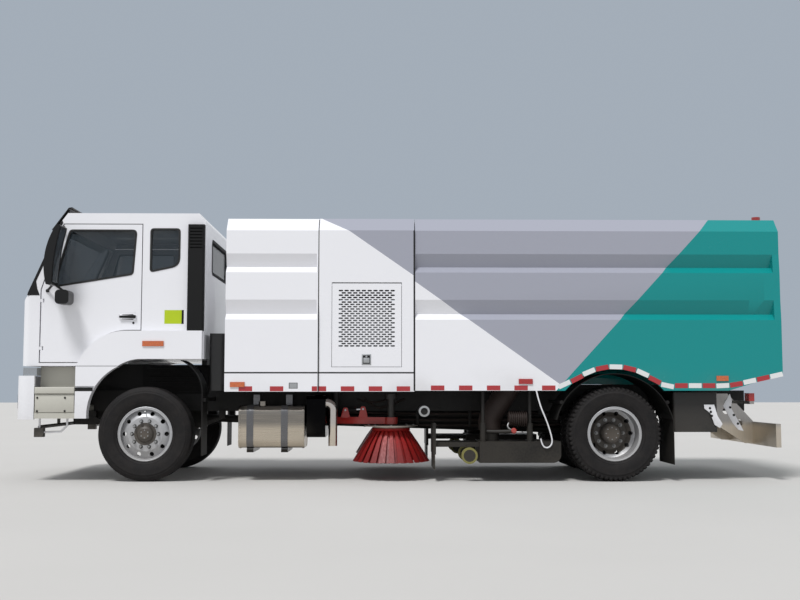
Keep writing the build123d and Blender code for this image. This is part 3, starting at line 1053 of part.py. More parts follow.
with BuildPart() as seats:
    for y in (SEAT_Y, -SEAT_Y):
        with BuildSketch(side(y + 230)):
            with BuildLine():
                Polyline((CAB_REAR_X + 560, CAB_FLOOR + 50 + SEAT), (CAB_REAR_X + 980, CAB_FLOOR + 50 + SEAT),
                         (CAB_REAR_X + 1000, 1640), (CAB_REAR_X + 1060, 1660), (CAB_REAR_X + 1060, 1790),
                         (CAB_REAR_X + 640, 1770), (CAB_REAR_X + 480, 2330), (CAB_REAR_X + 400, 2520),
                         (CAB_REAR_X + 330, 2500), (CAB_REAR_X + 360, 2320), (CAB_REAR_X + 500, 1640), close=True)
            make_face()
        extrude(amount=460)

with BuildPart() as air_intake:
    with BuildSketch(Plane.XY.offset(FENDER_TOP + SEAT)):
        with Locations((CAB_REAR_X + 3, CAB_SIDE_Y + SEAT)):
            Rectangle(185, 65, align=(Align.MIN, Align.MIN))
        fillet(vertices().group_by(Axis.Y)[-1], 25)
    extrude(amount=1190)
    with BuildSketch(side(CAB_SIDE_Y + 75)):
        with Locations((CAB_REAR_X + 95, 2700)):
            with GridLocations(0, 36, 1, 7):
                Rectangle(140, 14)
    extrude(amount=30, mode=Mode.SUBTRACT)

with BuildPart() as cab_lamps:
    for hand in (1, -1):
        with Locations((FRONT_AXLE_X + 26, hand * (FENDER_WIDTH / 2 + 6 + SEAT), 1490)):
            Box(234, 12, 58, align=(Align.MAX, Align.CENTER, Align.MIN))

# Doors with their windows and mirrors
with BuildPart() as door_left:
    with BuildSketch(side(CAB_SIDE_Y)):
        add(door_outline.sketch)
    extrude(amount=DOOR_WALL)
    outer_edges = door_left.edges().group_by(Axis.Y)[-1]
    chamfer(outer_edges.filter_by(lambda edge: edge.center().X > DOOR_HEAD_X and edge.length > 300
                                  and edge.bounding_box().size.Z > 300), 10)
    with BuildSketch(side(CAB_SIDE_Y + 10)):
        add(door_window.sketch)
    extrude(amount=DOOR_WALL + 20, mode=Mode.SUBTRACT)
    for z in HINGE_ZS:
        with Locations((DOOR_HINGE_X - 22, DOOR_HINGE_Y - 16, z)):
            Box(60, 60, 42, align=(Align.MIN, Align.MIN, Align.CENTER), mode=Mode.SUBTRACT)
        with Locations((DOOR_HINGE_X, DOOR_HINGE_Y, z)):
            Cylinder(DOOR_PIN_RADIUS + FIT, 76, mode=Mode.SUBTRACT)
    with BuildSketch(side(CAB_SIDE_Y)):
        with Locations((DOOR_REAR_X + 140, 1818)):
            RectangleRounded(200, 90, 20)
    extrude(amount=18, mode=Mode.SUBTRACT)
    with BuildSketch(side(CAB_SIDE_Y + 24)):
        with Locations((DOOR_REAR_X + 140, 1818)):
            Rectangle(180, 40)
            Rectangle(110, 60, mode=Mode.SUBTRACT)
    extrude(amount=50)
    with BuildSketch(side(CAB_SIDE_Y + 24)):
        with Locations((DOOR_REAR_X + 140, 1818)):
            Rectangle(180, 40)
    extrude(amount=16)
door_right = mirrored(door_left)

with BuildPart() as door_glass_left:
    with BuildSketch(side(CAB_SIDE_Y - 15)):
        add(door_window.sketch)
        offset(amount=-SEAT)
    extrude(amount=GLASS_WALL)
door_glass_right = mirrored(door_glass_left)

MIRROR_INNER_Y = CAB_SIDE_Y + 80
MIRROR_WIDTH = 250
MIRROR_FRONT_X = DOOR_FRONT_X - 117
MIRROR_BOTTOM = 2152
MIRROR_TOP = MIRROR_BOTTOM + 656
MIRROR_HEAD = Vector(MIRROR_FRONT_X - 148, MIRROR_INNER_Y + 60, MIRROR_TOP - 30)
MIRROR_FOOT = Vector(MIRROR_FRONT_X - 60, MIRROR_INNER_Y + 60, MIRROR_BOTTOM + 25)
with BuildPart() as mirror_left:
    with BuildSketch(side(MIRROR_INNER_Y + MIRROR_WIDTH)):
        with BuildLine():
            ThreePointArc((MIRROR_FRONT_X - 130, MIRROR_TOP), (MIRROR_FRONT_X - 22, MIRROR_BOTTOM + 400),
                          (MIRROR_FRONT_X - 30, MIRROR_BOTTOM))
            Line((MIRROR_FRONT_X - 30, MIRROR_BOTTOM), (MIRROR_FRONT_X - 90, MIRROR_BOTTOM))
            ThreePointArc((MIRROR_FRONT_X - 90, MIRROR_BOTTOM), (MIRROR_FRONT_X - 112, MIRROR_BOTTOM + 330),
                          (MIRROR_FRONT_X - 178, MIRROR_TOP))
            Line((MIRROR_FRONT_X - 178, MIRROR_TOP), (MIRROR_FRONT_X - 130, MIRROR_TOP))
        make_face()
    extrude(amount=MIRROR_WIDTH)
    fillet(mirror_left.edges().filter_by(Axis.Y), 14)
    with BuildSketch(side(MIRROR_INNER_Y + MIRROR_WIDTH - 30)):
        with Locations((MIRROR_FRONT_X - 122, 1941)):
            RectangleRounded(150, 156, 45, align=(Align.MAX, Align.MIN))
    extrude(amount=MIRROR_WIDTH - 50)
    with BuildSketch(side(CAB_SIDE_Y + SEAT)):
        with Locations((DOOR_HEAD_X + 8, DOOR_TOP - 35), (DOOR_FRONT_X - 70, 2110)):
            Circle(20)
    extrude(amount=-10)
    for foot, reach in ((Vector(DOOR_HEAD_X + 8, CAB_SIDE_Y + 10, DOOR_TOP - 35), MIRROR_HEAD),
                        (Vector(DOOR_FRONT_X - 70, CAB_SIDE_Y + 10, 2110), MIRROR_FOOT),
                        (MIRROR_FOOT, Vector(MIRROR_FRONT_X - 190, MIRROR_FOOT.Y, 2080))):
        with BuildSketch(Plane(origin=foot, z_dir=reach - foot)):
            Circle(13)
        extrude(amount=(reach - foot).length)
mirror_right = mirrored(mirror_left)

# Steering knuckles on the kingpins
EAR_GAP = 5
EAR_HEIGHT = 50
with BuildPart() as knuckle_left:
    for bottom in (AXLE_Z + 65 + EAR_GAP, AXLE_Z - 65 - EAR_GAP - EAR_HEIGHT):
        with BuildSketch(Plane.XY.offset(bottom)):
            with Locations((FRONT_AXLE_X, KINGPIN_Y)):
                Circle(48)
                Rectangle(96, 85, align=(Align.CENTER, Align.MIN))
                Circle(22 + FIT, mode=Mode.SUBTRACT)
        extrude(amount=EAR_HEIGHT)
    with Locations((FRONT_AXLE_X, KINGPIN_Y + 53, AXLE_Z)):
        Box(96, 32, 2 * (65 + EAR_GAP + EAR_HEIGHT), align=(Align.CENTER, Align.MIN, Align.CENTER))
    with Locations((FRONT_AXLE_X, KINGPIN_Y + 80, AXLE_Z)):
        Cylinder(SPINDLE_RADIUS, FRONT_WHEEL_Y + 80 - KINGPIN_Y - 80, rotation=(-90, 0, 0),
                 align=(Align.CENTER, Align.CENTER, Align.MIN))
knuckle_right = mirrored(knuckle_left)


def wheel_plane_at(axle_x, y):
    """Plane through the wheel's axis: local x runs outwards, local y is the radius."""
    return Plane(origin=(axle_x, y, AXLE_Z), x_dir=(0, 1, 0), z_dir=(1, 0, 0))


def add_tyre(axle_x, y):
    """One tyre that sits on its rim."""
    half = TYRE_WIDTH / 2
    bead = RIM_WIDTH / 2 - 15
    with BuildPart() as tyre:
        with BuildSketch(wheel_plane_at(axle_x, y)):
            with BuildLine():
                outer = [(bead, RIM_RADIUS + SEAT), (bead + 4, RIM_FLANGE_RADIUS + 2), (half - 9, 345),
                         (half, 410), (half - 9, 480), (half - 28, TYRE_RADIUS - 9), (half - 60, TYRE_RADIUS)]
                Polyline(*outer, *[(-width, radius) for width, radius in reversed(outer)], close=True)
            make_face()
        revolve(axis=Axis((axle_x, y, AXLE_Z), (0, 1, 0)))
    return tyre


def rim_barrel(y):
    """Rectangles of a rim's barrel and flanges: centre width and radius, then size."""
    half = RIM_WIDTH / 2
    tall = RIM_FLANGE_RADIUS - RIM_RADIUS + RIM_WALL
    return [(y, RIM_RADIUS - RIM_WALL / 2, RIM_WIDTH, RIM_WALL),
            (y - half + 5, RIM_FLANGE_RADIUS - tall / 2, 10, tall),
            (y + half - 5, RIM_FLANGE_RADIUS - tall / 2, 10, tall)]


BORE = SPINDLE_RADIUS + FIT
DISC_EDGE = RIM_RADIUS - RIM_WALL
with BuildPart() as rim_front_left:
    with BuildSketch(wheel_plane_at(FRONT_AXLE_X, FRONT_WHEEL_Y)):
        for x, y, wide, tall in rim_barrel(0):
            with Locations((x, y)):
                Rectangle(wide, tall)
        with BuildLine():
            Polyline((45, DISC_EDGE + 2), (62, DISC_EDGE + 2), (104, 190), (104, 95), (125, 80), (135, 60), (135, 0),
                     (84, 0), (84, BORE), (-40, BORE), (-40, 95), (88, 95), (88, 182), close=True)
        make_face()
    revolve(axis=Axis((FRONT_AXLE_X, FRONT_WHEEL_Y, AXLE_Z), (0, 1, 0)))
    with BuildSketch(Plane(origin=(FRONT_AXLE_X, FRONT_WHEEL_Y + 120, AXLE_Z), x_dir=(1, 0, 0),
                           z_dir=(0, -1, 0))):
        with PolarLocations(232, 10):
            Circle(24)
    extrude(amount=100, mode=Mode.SUBTRACT)
rim_front_right = mirrored(rim_front_left)
tyre_front_left = add_tyre(FRONT_AXLE_X, FRONT_WHEEL_Y)
tyre_front_right = mirrored(tyre_front_left)

TWIN_MIDDLE_Y = REAR_WHEEL_Y - TWIN_SPACING / 2
with BuildPart() as rim_rear_left:
    with BuildSketch(wheel_plane_at(REAR_AXLE_X, TWIN_MIDDLE_Y)):
        for x, y, wide, tall in rim_barrel(TWIN_SPACING / 2) + rim_barrel(-TWIN_SPACING / 2):
            with Locations((x, y)):
                Rectangle(wide, tall)
        with BuildLine():
            Polyline((52, DISC_EDGE + 2), (76, DISC_EDGE + 2), (14, 185), (14, 120), (120, 110), (140, 90), (140, 0),
                     (74, 0), (74, BORE), (-48, BORE), (-48, 120), (-14, 120), (-14, 185), (-76, DISC_EDGE + 2),
                     (-52, DISC_EDGE + 2), (0, 190), close=True)
        make_face()
    revolve(axis=Axis((REAR_AXLE_X, TWIN_MIDDLE_Y, AXLE_Z), (0, 1, 0)))
    with BuildSketch(Plane(origin=(REAR_AXLE_X, TWIN_MIDDLE_Y + 100, AXLE_Z), x_dir=(1, 0, 0),
                           z_dir=(0, -1, 0))):
        with PolarLocations(228, 10):
            Circle(24)
    extrude(amount=200, mode=Mode.SUBTRACT)
rim_rear_right = mirrored(rim_rear_left)
with BuildPart() as tyres_rear_left:
    add(add_tyre(REAR_AXLE_X, REAR_WHEEL_Y))
    add(add_tyre(REAR_AXLE_X, REAR_WHEEL_Y - TWIN_SPACING))
tyres_rear_right = mirrored(tyres_rear_left)

PIECES = {
    "frame_rails": frame_rails, "subframe": subframe, "front_axle": front_axle, "rear_axle": rear_axle,
    "leaf_springs": leaf_springs, "engine_block": engine_block,
    "fuel_tank": fuel_tank, "side_boxes": side_boxes, "silencer": silencer,
    "bumper": bumper, "lamps": lamps, "steps": steps, "fender_legs": fender_legs,
    "front_mudguards": front_mudguards, "rear_mudguards": rear_mudguards, "water_tank": water_tank,
    "engine_bay": engine_bay, "fan_engine": fan_engine, "underrun_guard": underrun_guard,
    "suction_tubes": suction_tubes, "water_pipes": water_pipes,
    "cab_shell": cab_shell, "cab_glass": cab_glass,
    "sun_visor": sun_visor, "dashboard": dashboard, "seats": seats, "air_intake": air_intake,
    "cab_lamps": cab_lamps,
    "door_left": door_left, "door_right": door_right, "door_glass_left": door_glass_left,
    "door_glass_right": door_glass_right, "mirror_left": mirror_left, "mirror_right": mirror_right,
    "hopper_shell": hopper_shell, "rear_door": rear_door, "hopper_lamps": hopper_lamps,
    "tip_barrel": tip_barrel, "tip_rod": tip_rod, "lid_left": lid_left, "lid_right": lid_right,
    "knuckle_left": knuckle_left, "knuckle_right": knuckle_right,
    "tyre_front_left": tyre_front_left, "tyre_front_right": tyre_front_right,
    "rim_front_left": rim_front_left, "rim_front_right": rim_front_right,
    "tyres_rear_left": tyres_rear_left, "tyres_rear_right": tyres_rear_right,
    "rim_rear_left": rim_rear_left, "rim_rear_right": rim_rear_right,
    "brush_arm_left": brush_arm_left, "brush_arm_right": brush_arm_right,
    "brush_head_left": brush_head_left, "brush_head_right": brush_head_right,
    "brush_left": brush_left, "brush_right": brush_right,
    "nozzle_left": nozzle_left, "nozzle_right": nozzle_right,
}
os.makedirs("parts", exist_ok=True)
for name, piece in PIECES.items():
    piece.part.label = name
    export_step(piece.part, f"parts/{name}.step")
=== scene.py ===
# %% [markdown]
# # A street sweeper truck
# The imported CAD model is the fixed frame: it already has the right sizes, bodies and joints. This
# lesson gives it its looks. Each step says what the part is on a real truck, how it could be made
# in Blender, and why this way was taken. All sizes are in metres, X points forwards and Z up.

# %% Load the frame
from math import atan2, cos, pi, radians, sin, tan

import bmesh
import bpy
from mathutils import Matrix, Vector


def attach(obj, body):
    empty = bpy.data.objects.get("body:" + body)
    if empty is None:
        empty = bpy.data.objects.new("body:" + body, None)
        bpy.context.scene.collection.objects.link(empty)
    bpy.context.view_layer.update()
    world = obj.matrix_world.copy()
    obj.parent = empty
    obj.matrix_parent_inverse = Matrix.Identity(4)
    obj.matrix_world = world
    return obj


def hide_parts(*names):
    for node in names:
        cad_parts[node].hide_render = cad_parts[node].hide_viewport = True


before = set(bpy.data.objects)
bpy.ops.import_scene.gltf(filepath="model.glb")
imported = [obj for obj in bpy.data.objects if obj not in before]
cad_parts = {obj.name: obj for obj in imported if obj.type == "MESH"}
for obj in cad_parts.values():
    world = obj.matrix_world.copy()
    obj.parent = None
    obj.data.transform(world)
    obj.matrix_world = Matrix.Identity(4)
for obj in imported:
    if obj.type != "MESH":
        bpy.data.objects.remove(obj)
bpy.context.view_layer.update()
WHEEL_Z = 0.522
FRONT_AXLE_X, REAR_AXLE_X = 2.83, -2.37


def add(name, data):
    """A new object, linked to the scene."""
    made = bpy.data.objects.new(name, data)
    bpy.context.scene.collection.objects.link(made)
    return made


def plain(holder):
    """The mesh that an object's modifiers make, kept without the object."""
    made = bpy.data.meshes.new_from_object(holder.evaluated_get(bpy.context.evaluated_depsgraph_get()))
    bpy.data.objects.remove(holder)
    return made


# %% [markdown]
# ## Sums on sockets
# A material or a Geometry Nodes tree is a sum with many terms. Clicking it together hides the sum,
# so a small class wraps a socket and lets Python's own operators add the Math nodes. One method
# makes every other node: it takes the node's type, its settings, and the values of its sockets.


# %% Wrap sockets
class Wire:
    """A socket of a node tree that can stand in a sum."""

    def __init__(self, tree, socket):
        self.tree, self.socket = tree, socket

    def sum(self, operation, *others):
        values = dict(enumerate((self,) + others))
        return self.tree.node("ShaderNodeMath", {"operation": operation}, values)

    def __add__(self, other):
        return self.sum("ADD", other)

    def __sub__(self, other):
        return self.sum("SUBTRACT", other)

    def __rsub__(self, other):
        return self.sum("MULTIPLY_ADD", -1.0, other)

    def __mul__(self, other):
        return self.sum("MULTIPLY", other)

    def __lt__(self, other):
        return self.sum("LESS_THAN", other)

    def __gt__(self, other):
        return self.sum("GREATER_THAN", other)

    def __mod__(self, other):
        return self.sum("FLOORED_MODULO", other)

    def waves(self, pace):
        return (self * pace).sum("SINE")

    def ramp(self, low, high):
        """0 below low, 1 above high, smooth between them."""
        return self.tree.node("ShaderNodeMapRange", {"interpolation_type": "SMOOTHSTEP"},
                              {"Value": self, "From Min": low, "From Max": high})

    __radd__, __rmul__ = __add__, __mul__


class Tree:
    """A shader or Geometry Nodes tree whose nodes all come from one method."""

    def __init__(self, tree):
        self.tree = tree

    def node(self, kind, settings=None, sockets=None, out=0):
        made = self.tree.nodes.new(kind)
        for name, value in (settings or {}).items():
            setattr(made, name, value)
        for key, value in (sockets or {}).items():
            socket = made.inputs[key]
            if isinstance(value, Wire):
                self.tree.links.new(value.socket, socket)
            else:
                socket.default_value = value
        return Wire(self, made.outputs[out]) if made.outputs else None

    def mix(self, share, first, second):
        """A colour between two others."""
        return self.node("ShaderNodeMix", {"data_type": "RGBA"}, {0: share, 6: first, 7: second}, out=2)


# %% [markdown]
# ## Where the photographer stood
# The photograph is a side view from about twelve metres, with the lens about a metre above the
# road. The body's side is square to the view, so the lines that run away from the camera meet at
# one pixel. That pixel gives the yaw and pitch, and the size of the truck gives the lens.

# %% Set the camera
PHOTO_WIDTH, PHOTO_HEIGHT = 800, 600
FOCAL = 1079.0                  # focal length in pixels
VANISH = (380.0, 387.0)         # pixel where lines along Y meet
STAND = Vector((0.232, 13.2, 1.041))
bpy.context.scene.view_settings.view_transform = "Standard"
camera = add("camera", bpy.data.cameras.new("camera"))
camera.data.lens = FOCAL / PHOTO_WIDTH * camera.data.sensor_width
camera.data.clip_end = 200
look = Vector(((VANISH[0] - PHOTO_WIDTH / 2) / FOCAL, -1, (VANISH[1] - PHOTO_HEIGHT / 2) / FOCAL))
camera.location = STAND
camera.rotation_euler = look.to_track_quat("-Z", "Y").to_euler()
bpy.context.scene.camera = camera
print("lens", round(camera.data.lens, 1), "mm")

# %% [markdown]
# ## Light
# A truck stands outdoors under a high soft sun. One sun with a wide disc gives the bright upper
# slopes and the dark undersides of the grooves, and a white world fills the shade. The camera sees a
# blue-grey backdrop, so that the white cab stands out from it, and metal and glass mirror a pale one.

# %% Light the truck
sun = add("sun", bpy.data.lights.new("sun", "SUN"))
sun.data.energy = 2.5
sun.data.angle = radians(14)
sun.rotation_euler = Vector((-0.28, -0.5, -1.0)).to_track_quat("-Z", "Y").to_euler()
world = bpy.data.worlds.new("sky")
bpy.context.scene.world = world
world.use_nodes = True
sky = Tree(world.node_tree)
world.node_tree.nodes.clear()
seen = sky.node("ShaderNodeLightPath", out="Is Camera Ray")
strength = sky.node("ShaderNodeLightPath", out="Is Glossy Ray") * 0.2 + 0.56
tone = sky.mix(seen, (0.93, 0.96, 1.0, 1), (0.66, 0.75, 0.86, 1))
shade = sky.node("ShaderNodeBackground", sockets={"Color": tone, "Strength": strength})
sky.node("ShaderNodeOutputWorld", sockets={"Surface": shade})

# %% [markdown]
# ## A notebook page for each finish
# Every finish is a Principled shader with sums on its sockets. The patterns read Object
# coordinates: each piece's object sits at the origin, so these are metres on the truck and the
# dust line runs straight from one piece to the next.


# %% Start a finish
class Finish(Tree):
    """A material: a Principled shader whose sockets are filled with sums."""

    def __init__(self, name, **same_all_over):
        self.material = bpy.data.materials.new(name)
        self.material.use_nodes = True
        super().__init__(self.material.node_tree)
        self.shader = self.tree.nodes["Principled BSDF"]
        for socket, value in same_all_over.items():
            self.shader.inputs[socket.replace("_", " ")].default_value = value
        self.place = self.node("ShaderNodeTexCoord", out="Object")

    def fill(self, **sockets):
        for socket, value in sockets.items():
            self.tree.links.new(value.socket, self.shader.inputs[socket.replace("_", " ")])
        return self.material

    def axis(self, letter):
        return self.node("ShaderNodeSeparateXYZ", sockets={0: self.place}, out=letter)

    def noise(self, scale, detail=4.0, stretch=(1, 1, 1)):
        place = self.node("ShaderNodeMapping", sockets={"Vector": self.place, "Scale": stretch})
        return self.node("ShaderNodeTexNoise", sockets={"Vector": place, "Scale": scale, "Detail": detail})

    def bumps(self, height, depth):
        return self.node("ShaderNodeBump", sockets={"Height": height, "Distance": depth})


def colour(red, green, blue):
    """Linear colour from 0 to 255 values as they are read off the photograph."""
    return tuple((c / 255 / 12.92 if c <= 10 else ((c / 255 + 0.055) / 1.055) ** 2.4)
                 for c in (red, green, blue)) + (1.0,)


ROAD_DUST = colour(120, 112, 100)

# %% [markdown]
# ## Paint and moulded plastic
# Road dust settles where wheels throw it up, so it is thick near the ground and gone above the
# door sills. A height ramp times a cloudy noise gives that. The same sum serves every sprayed or
# moulded surface; only its colour, gloss and grain differ.


# %% Mix the plain finishes
def coated(name, base, roughness=0.35, dust=0.5, grain=(700, 0.00015), streaks=0.06, parts=(), **same):
    """Paint or plastic with mottled gloss, a fine surface grain and dust near the ground. Each of the
    parts gives a colour, a metal share and a sum that is 1 where that colour lies."""
    finish = Finish(name, **same)
    all_metal, metal = same.get("Metallic", 0.0), None
    for part_colour, part_metal, where in parts:
        share = where(finish)
        base = finish.mix(share, base, part_colour)
        metal = share * (part_metal - all_metal) + (metal or all_metal)
    if metal:
        finish.fill(Metallic=metal)
    cloud, fine = finish.noise(2.3, 6), finish.noise(38, 3)
    worn = (cloud - 0.5) * streaks * 2 + 1.0
    shade = finish.node("ShaderNodeCombineColor", sockets={0: worn, 1: worn, 2: worn})
    tone = finish.node("ShaderNodeMix", {"data_type": "RGBA", "blend_type": "MULTIPLY"},
                       {0: 1.0, 6: base, 7: shade}, out=2)
    dirt = finish.axis("Z").ramp(1.25, 0.15) * (cloud + fine * 0.5 - 0.2).ramp(0.1, 0.75) * dust
    scale, depth = grain
    return finish.fill(Base_Color=finish.mix(dirt, tone, ROAD_DUST),
                       Roughness=dirt * 0.5 + cloud * 0.12 + (roughness - 0.06),
                       Normal=finish.bumps(finish.noise(scale, 2), depth))


def between(letter, low, high):
    """A sum that is 1 between two places on an axis."""
    return lambda finish: (finish.axis(letter) > low) * (finish.axis(letter) < high)


def round_a(radius, x, z):
    """A sum that is 1 within a radius of a line along Y."""
    def where(finish):
        across, up = finish.axis("X") - x, finish.axis("Z") - z
        return (across * across + up * up) < radius ** 2
    return where


WHITE = colour(236, 236, 240)
cab_paint = coated("cab_paint", WHITE, 0.22, 0.35, streaks=0.02, Coat_Weight=0.5, Coat_Roughness=0.05)
black_plastic = coated("black_plastic", colour(12, 12, 13), 0.6, 0.1, (420, 0.0006),
                       Specular_IOR_Level=0.25)
gloss_black = coated("gloss_black", colour(8, 8, 9), 0.3, 0.1, (500, 0.0002), Specular_IOR_Level=0.35)
grey_plastic = coated("grey_plastic", colour(194, 192, 182), 0.5, 0.3, (420, 0.0005))
frame_paint = coated("frame_paint", colour(13, 13, 14), 0.5, 0.15, (160, 0.0006), Specular_IOR_Level=0.3)
seal_rubber = coated("seal_rubber", colour(20, 20, 20), 0.7, 0.2, (500, 0.0004))
red_paint = coated("red_paint", colour(176, 20, 18), 0.35, 0.45, Coat_Weight=0.3)
zinc = coated("zinc", colour(176, 178, 180), 0.38, 0.55, (260, 0.0004), 0.25, Metallic=0.9)
HUB_BROWN = colour(50, 46, 44)
rim_paint = coated("rim_paint", colour(186, 187, 190), 0.36, 0.4, (300, 0.0003), 0.2, Metallic=0.55,
                   parts=((HUB_BROWN, 0.1, round_a(0.124, FRONT_AXLE_X, WHEEL_Z)),
                          (HUB_BROWN, 0.1, round_a(0.236, REAR_AXLE_X, WHEEL_Z))))
hub_paint = coated("hub_paint", colour(74, 68, 64), 0.5, 0.5, (200, 0.0008), 0.25, Metallic=0.3)
NOZZLE_ROLLER = (-0.758, 0.285)
nozzle_paint = coated("nozzle_paint", colour(15, 14, 14), 0.5, 0.15, (180, 0.0006), 0.2,
                      Specular_IOR_Level=0.3,
                      parts=((colour(122, 118, 62), 0.0, round_a(0.0895, *NOZZLE_ROLLER)),
                             (colour(30, 30, 28), 0.0, round_a(0.066, *NOZZLE_ROLLER))))
pipework = coated("pipework", colour(28, 28, 28), 0.4, 0.5, (260, 0.0004), 0.2,
                  parts=((colour(190, 190, 190), 0.9, between("X", -1.0, 0.0)),))
head_paint = coated("head_paint", colour(28, 28, 29), 0.45, 0.4, (260, 0.0004),
                    parts=((colour(188, 180, 170), 0.4, between("Z", 0.3, 0.606)),))
dash_plastic = coated("dash_plastic", colour(142, 134, 118), 0.5, 0.1, (600, 0.0003),
                      parts=((colour(22, 22, 23), 0.0, between("X", 3.3, 3.72)),))
box_paint = coated("box_paint", colour(15, 15, 16), 0.5, 0.2, (160, 0.0006))
chrome = coated("chrome", colour(206, 208, 212), 0.12, 0.1, (200, 0.0001), Metallic=1.0)
mirror_silver = coated("mirror_silver", colour(225, 228, 232), 0.03, 0.0, (3, 0.0), Metallic=1.0)
hose_rubber = coated("hose_rubber", colour(40, 29, 27), 0.6, 0.15, (220, 0.0012), Specular_IOR_Level=0.3)
sticker = coated("sticker", colour(178, 200, 20), 0.4, 0.1, (300, 0.0001))
# Near-black matte: painted shade in gaps, holes, cups and behind slots and pipes, and the colour of some
# black parts.
soot = coated("soot", colour(8, 8, 9), 0.9, 0.1, (60, 0.002))
print("plain finishes", len(bpy.data.materials))

# %% [markdown]
# ## The sweeper body's three colours
# The body is sprayed white, grey and green along two slanting lines that run over every panel and
# over the lids. Cutting the mesh along them would break the panels' shapes. A line is a plane in
# the sum, X against a slope times Z, so one material paints all five pieces and they always match.

# %% Spray the body
SCALE = 0.011118                # metres for each photograph pixel on the near side
AXLE_PX, ROAD_PY = 146.3, 480.6  # pixel on the road under the front axle


def at_pixel(px, py):
    """X and Z on the near side of the truck for a pixel of the photograph."""
    return FRONT_AXLE_X + (AXLE_PX - px) * SCALE, (ROAD_PY - py) * SCALE


def behind_line(finish, high, low):
    """1 behind a slanting line through two pixels, 0 in front of it."""
    (x0, z0), (x1, z1) = at_pixel(*high), at_pixel(*low)
    slope = (x1 - x0) / (z1 - z0)
    return finish.axis("X") < finish.axis("Z") * slope + (x0 - z0 * slope)


SEAM_X = -0.154                 # between the engine bay and the hopper, which were masked apart
SLOPE_Z = 2.777                 # foot of the roof's slope
spray = Finish("body_paint", Specular_IOR_Level=0.25, Coat_Weight=0.15, Coat_Roughness=0.06)
on_bay, on_slope = spray.axis("X") > SEAM_X, spray.axis("Z") > SLOPE_Z
bay_line = on_slope * behind_line(spray, (327, 219.6), (349.5, 230.8)) + (
    (1 - on_slope) * behind_line(spray, (349.5, 230.8), (411.3, 273.8)))
grey_part = on_bay * bay_line + (1 - on_bay) * behind_line(spray, (415, 281.4), (556.3, 382))
green_part = behind_line(spray, (703.2, 230), (598, 344.5))
bands = spray.mix(green_part, spray.mix(grey_part, WHITE, colour(160, 162, 174)), colour(16, 138, 137))
soil = spray.noise(1.4, 6)
splash = spray.axis("Z").ramp(1.35, 0.9) * soil.ramp(0.35, 0.75) * 0.3
body_paint = spray.fill(
    Base_Color=spray.mix(splash, bands, ROAD_DUST),
    Roughness=splash * 0.5 + soil * 0.1 + 0.2,
    Normal=spray.bumps(spray.noise(1.2, 1, (1, 1, 0.6)) + spray.noise(500, 1) * 0.02, 0.004))

# %% [markdown]
# ## Brushed aluminium, stainless pipe and tread rubber
# Brushing leaves scratches along one direction, which a noise stretched by a Mapping node gives.
# Rubber is dark and dull, with browner patches from a noise.


# %% Mix metal and rubber
def brushed(name, base, stretch, roughness=0.28, zones=()):
    """Metal with scratches along one direction and, low down, a beige tint that paints the road's
    reflection; a zone has a colour and a sum for where it lies.
    """
    finish = Finish(name, Metallic=1.0)
    lines = finish.noise(150, 3, stretch)
    cloud = finish.noise(3, 5)
    dirt = finish.axis("Z").ramp(0.8, 0.2) * cloud.ramp(0.35, 0.85) * 0.35
    # Below about 0.6 m a beige tint paints the reflection of the road, and the scratch lines lean towards
    # it too.
    tone = finish.mix(lines * 0.3 + finish.axis("Z").ramp(0.66, 0.56) * 0.5, base, colour(226, 212, 190))
    for zone_colour, where in zones:
        tone = finish.mix(where(finish), tone, zone_colour)
    return finish.fill(Base_Color=finish.mix(dirt, tone, ROAD_DUST),
                       Roughness=lines * 0.12 + dirt * 0.4 + (roughness - 0.05),
                       Metallic=dirt * -0.8 + 1.0,
                       Normal=finish.bumps(lines, 0.0001))


strap_zone = (between("X", 1.2545, 1.3305), between("X", 1.6355, 1.7115))
# The tank's underside, below 0.352 m, is painted near black as the shade beneath it.
tank_metal = brushed("tank_metal", colour(112, 110, 108), (0.02, 1, 1), 0.24,
                     [(colour(112, 112, 114), zone) for zone in strap_zone] +
                     [(colour(22, 22, 22), between("Z", 0.2, 0.352))])
strap_metal = brushed("strap_metal", colour(150, 150, 152), (1, 1, 0.05), 0.34)
pipe_metal = brushed("pipe_metal", colour(190, 186, 184), (1, 1, 0.08), 0.2,
                     [(colour(14, 14, 15), between("X", 0.838, 1.2))])

rubber = Finish("tyre_rubber", Specular_IOR_Level=0.3)
mould = rubber.noise(9, 5)
tyre_rubber = rubber.fill(
    Base_Color=rubber.mix((mould + rubber.noise(60, 2) * 0.4).ramp(0.45, 1.0) * 0.4,
                          colour(15, 13, 14), colour(48, 44, 42)),
    Roughness=mould * 0.2 + 0.62, Normal=rubber.bumps(rubber.noise(220, 3), 0.0006))

# %% [markdown]
# ## Glass and lamp lenses
# Tinted truck glass is dark from outside, yet the seats show through it, so the shader is thin and
# partly transparent. A lens is glossy plastic whose colour depends on where it sits: clear in
# front, amber at the cab's corners, red on the sides and rear. Ribs moulded in it are a wave bump.

# %% Mix glass and lenses
glass = Finish("window_glass", Roughness=0.04, IOR=1.5)
smear = glass.noise(2.4, 5)
window_glass = glass.fill(Base_Color=glass.mix(smear, colour(22, 34, 42), colour(44, 56, 64)),
                          Roughness=smear * 0.06 + 0.01, Alpha=smear * 0.1 + 0.46)

lens = Finish("lamp_lens", Coat_Weight=0.6)
front = lens.axis("X") > 4.0
amber = (lens.axis("X") > 1.6).sum("MAXIMUM", (lens.axis("X") < -3.4) * (lens.axis("X") > -3.7))
tint = lens.mix(front, lens.mix(amber, colour(170, 26, 26), colour(206, 104, 52)), colour(150, 158, 164))
ribs = (lens.axis("X") + lens.axis("Y")).waves(420.0)
lamp_lens = lens.fill(Base_Color=lens.mix(lens.noise(90, 2).ramp(0.3, 0.8) * 0.4, tint, colour(90, 40, 30)),
                      Roughness=lens.noise(12) * 0.2 + 0.08, Normal=lens.bumps(ribs, 0.0006))

# %% [markdown]
# ## Woven seat cloth
# Seat cloth has threads that cross. Two sine waves at right angles give the weave's height, and
# their product drives both the colour and the bump, so light catches the same threads.

